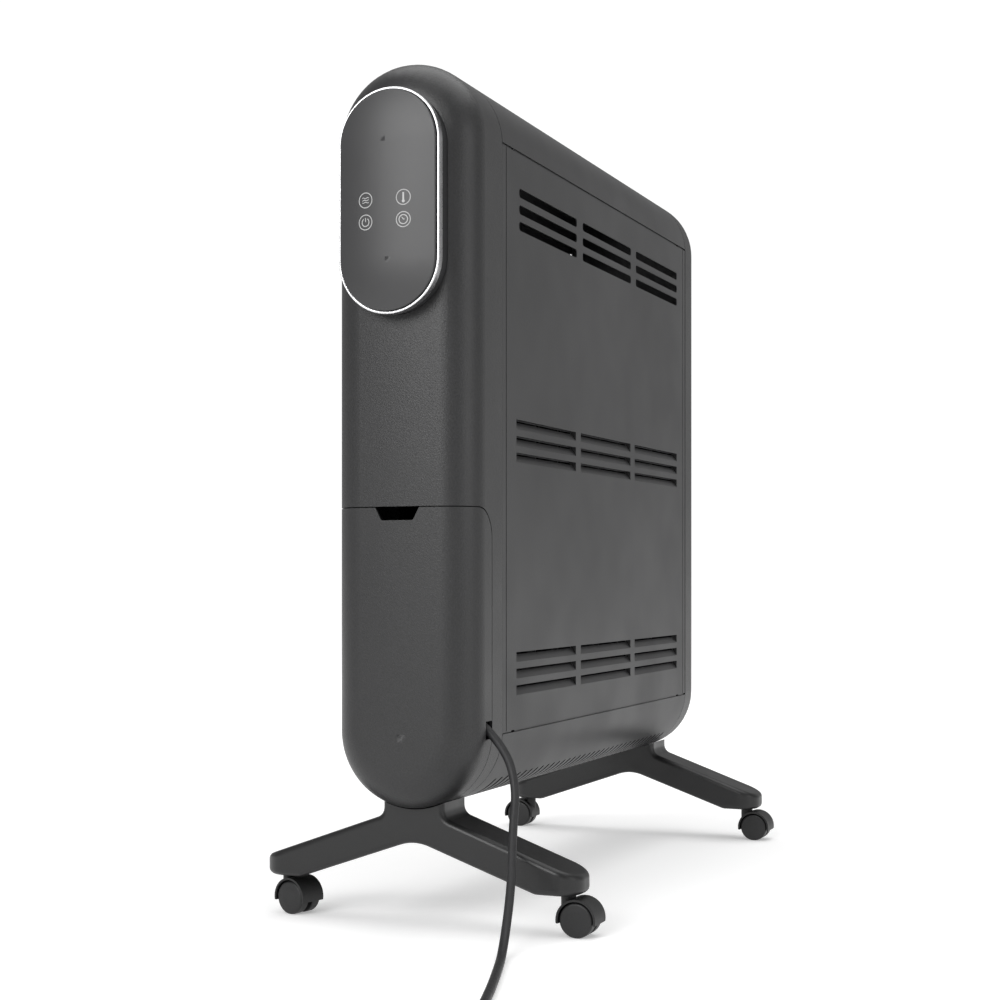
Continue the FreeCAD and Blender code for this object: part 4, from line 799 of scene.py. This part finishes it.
class HEATER_OT_insides(bpy.types.Operator):
    """Finishes the oil filled columns, the boards and the fittings behind the casing"""
    bl_idname = "heater.insides"
    bl_label = "Insides"

    def execute(self, context):
        coat_nodes({
            "column_paint": satin_moulding("baked_column_paint", (0.022, 0.022, 0.023),
                                           size=0.0016, low=0.35, high=0.45, depth=0.00008),
            "board": green_board((0.03, 0.13, 0.055)),
            "inner_plastic": satin_moulding("grey_inner_moulding", (0.09, 0.09, 0.09),
                                            size=0.0010, low=0.45, high=0.55, depth=0.00006),
            "gasket_rubber": satin_moulding("gasket_rubber", (0.025, 0.025, 0.025),
                                            size=0.0008, low=0.7, high=0.8, depth=0.00008),
        })
        return {"FINISHED"}


class HEATER_OT_fasteners(bpy.types.Operator):
    """Finishes the screws, bolts, nuts and brackets"""
    bl_idname = "heater.fasteners"
    bl_label = "Fasteners"

    def execute(self, context):
        coat_nodes({
            "zinc_steel": plated_metal("zinc_plate", (0.52, 0.53, 0.55), low=0.28, high=0.42, size=0.004),
        })
        return {"FINISHED"}


class HEATER_OT_feet(bpy.types.Operator):
    """Finishes the two satin feet"""
    bl_idname = "heater.feet"
    bl_label = "Feet"

    def execute(self, context):
        colour = tuple(context.scene.heater_feet.foot_colour)
        coat_nodes({
            "foot_plastic": satin_moulding("satin_foot_moulding", colour,
                                           size=0.0011, low=0.34, high=0.42, depth=0.00005),
        })
        return {"FINISHED"}


class HEATER_OT_castors(bpy.types.Operator):
    """Finishes the castor hoods, wheels and bright stems"""
    bl_idname = "heater.castors"
    bl_label = "Castors"

    def execute(self, context):
        colour = tuple(context.scene.heater_feet.castor_colour)
        coat_nodes({
            "caster_plastic": satin_moulding("nylon_hood", colour,
                                             size=0.0012, low=0.46, high=0.56, depth=0.00012),
            "wheel_plastic": satin_moulding("nylon_wheel", shade(colour, 1.2),
                                            size=0.0009, low=0.40, high=0.50, depth=0.00005),
            "bright_steel": plated_metal("plated_stem_steel", (0.74, 0.74, 0.75),
                                         low=0.12, high=0.22, size=0.003),
        })
        return {"FINISHED"}


class HEATER_OT_mains_lead(bpy.types.Operator):
    """Lays the mains lead from the cord opening, coils the rest of it and finishes its plug"""
    bl_idname = "heater.mains_lead"
    bl_label = "Mains Lead"

    def execute(self, context):
        settings = context.scene.heater_lead
        sheath = lead_sheath((0.013, 0.013, 0.014))
        moulding = satin_moulding("plug_moulding", (0.013, 0.013, 0.014),
                                  size=0.0009, low=0.45, high=0.55, depth=0.00006)
        coat_nodes({
            "cord_rubber": sheath,
            "plug_plastic": moulding,
            "pin_brass": plated_metal("plated_pin_brass", (0.68, 0.62, 0.46),
                                      low=0.20, high=0.30, size=0.003),
        })
        curve = mains_lead_curve(settings.thickness)
        curve.materials.append(sheath)
        lead = bpy.data.objects.new("mains_lead", curve)
        context.scene.collection.objects.link(lead)
        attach(lead, "root")
        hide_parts("cord", "cord_coil", "cord_tail")
        if settings.boot_ribs:
            turn = math.radians(BOOT_HEADING)
            ahead = Vector((math.cos(turn), math.sin(turn), 0.0))
            start = Vector(LEAD_TAIL[-1])
            middles = [start + ahead * (RIB_START + RIB_PITCH * number)
                       for number in range(settings.boot_ribs)]
            tree, names = rib_tree(moulding)
            ribs = grow("boot_ribs", tree, middles, {
                names["thick"]: RIB_THICKNESS,
                names["turn"]: (0.0, math.radians(90), turn),
                names["first"]: RIB_RADIUS,
                names["growth"]: RIB_GROWTH,
            })
            keep_piece("boot_ribs", ribs, moulding, "root")
        return {"FINISHED"}


class HEATER_OT_studio(bpy.types.Operator):
    """Lays the pale floor, hangs the soft lights and places the camera"""
    bl_idname = "heater.studio"
    bl_label = "Studio"

    def execute(self, context):
        settings = context.scene.heater_studio
        self.lay_floor(context, settings.floor_width, settings.glow)
        self.light_room(context, settings.room)
        for name, place, target, width, height in LIGHTS:
            power = getattr(settings, name)
            self.hang_light(context, f"{name}_softbox", place, target, width, height, power)
        self.place_camera(context)
        context.scene.view_settings.view_transform = "Standard"
        return {"FINISHED"}

    def lay_floor(self, context, width, glow):
        builder = bmesh.new()
        bmesh.ops.create_grid(builder, x_segments=8, y_segments=8, size=width / 2)
        mesh = bpy.data.meshes.new("studio_floor")
        builder.to_mesh(mesh)
        builder.free()
        mesh.materials.append(studio_floor(glow))
        floor = bpy.data.objects.new("studio_floor", mesh)
        floor.location.z = CAD_BOX[0][2]
        context.scene.collection.objects.link(floor)

    def light_room(self, context, strength):
        room = bpy.data.worlds.new("studio_room")
        context.scene.world = room
        room.use_nodes = True
        tree = room.node_tree
        walls = tree.nodes["Background"]
        walls.inputs["Color"].default_value = (1.0, 1.0, 1.0, 1.0)
        walls.inputs["Strength"].default_value = strength
        backdrop = tree.nodes.new("ShaderNodeBackground")
        backdrop.inputs["Color"].default_value = (1.0, 1.0, 1.0, 1.0)
        backdrop.inputs["Strength"].default_value = BACKDROP_STRENGTH
        seen = tree.nodes.new("ShaderNodeLightPath")
        either = tree.nodes.new("ShaderNodeMixShader")
        tree.links.new(seen.outputs["Is Camera Ray"], either.inputs["Fac"])
        tree.links.new(walls.outputs["Background"], either.inputs[1])
        tree.links.new(backdrop.outputs["Background"], either.inputs[2])
        tree.links.new(either.outputs["Shader"], tree.nodes["World Output"].inputs["Surface"])

    def hang_light(self, context, name, place, target, width, height, power):
        lamp = bpy.data.lights.new(name, "AREA")
        lamp.shape = "RECTANGLE"
        lamp.size = width
        lamp.size_y = height
        lamp.energy = power
        holder = bpy.data.objects.new(name, lamp)
        holder.location = place
        aim = Vector(target) - Vector(place)
        holder.rotation_euler = aim.to_track_quat("-Z", "Y").to_euler()
        context.scene.collection.objects.link(holder)

    def place_camera(self, context):
        lens = bpy.data.cameras.new("studio_camera")
        lens.sensor_width = 36.0
        lens.lens = 62.32
        lens.shift_y = 0.0741
        lens.clip_start = 0.05
        lens.clip_end = 100.0
        camera = bpy.data.objects.new("studio_camera", lens)
        camera.location = (0.6107, -1.5309, 0.2855)
        camera.rotation_euler = (math.radians(90), 0.0, math.radians(22.99))
        context.scene.collection.objects.link(camera)
        context.scene.camera = camera


class HEATER_PT_panel(bpy.types.Panel):
    """The heater's pieces and their settings"""
    bl_idname = "HEATER_PT_panel"
    bl_label = "Radiator Heater"
    bl_space_type = "VIEW_3D"
    bl_region_type = "UI"
    bl_category = "Heater"

    def draw(self, context):
        for settings, names in PANEL_ROWS:
            box = self.layout.box()
            if settings:
                group = getattr(context.scene, settings)
                for field in group.bl_rna.properties.keys():
                    if field not in {"rna_type", "name"}:
                        box.prop(group, field)
            for name in names:
                box.operator(name)


PANEL_ROWS = (
    ("heater_casing", ("heater.casing",)),
    ("heater_touch", ("heater.touch_control",)),
    ("", ("heater.insides", "heater.fasteners")),
    ("heater_feet", ("heater.feet", "heater.castors")),
    ("heater_lead", ("heater.mains_lead",)),
    ("heater_studio", ("heater.studio",)),
)
SETTINGS = (
    ("heater_casing", CasingSettings),
    ("heater_touch", TouchSettings),
    ("heater_feet", FootSettings),
    ("heater_lead", LeadSettings),
    ("heater_studio", StudioSettings),
)
OPERATORS = (
    HEATER_OT_casing, HEATER_OT_touch_control, HEATER_OT_insides, HEATER_OT_fasteners,
    HEATER_OT_feet, HEATER_OT_castors, HEATER_OT_mains_lead, HEATER_OT_studio,
)


def register():
    for name, group in SETTINGS:
        bpy.utils.register_class(group)
        setattr(bpy.types.Scene, name, bpy.props.PointerProperty(type=group))
    for kind in (*OPERATORS, HEATER_PT_panel):
        bpy.utils.register_class(kind)


def unregister():
    for kind in reversed((*OPERATORS, HEATER_PT_panel)):
        bpy.utils.unregister_class(kind)
    for name, group in reversed(SETTINGS):
        delattr(bpy.types.Scene, name)
        bpy.utils.unregister_class(group)


def main():
    """Builds the stage and every piece."""
    register()
    bpy.ops.heater.studio()
    bpy.ops.heater.mains_lead()
    bpy.ops.heater.casing()
    bpy.ops.heater.touch_control()
    bpy.ops.heater.insides()
    bpy.ops.heater.fasteners()
    bpy.ops.heater.feet()
    bpy.ops.heater.castors()


if __name__ == "__main__":
    main()
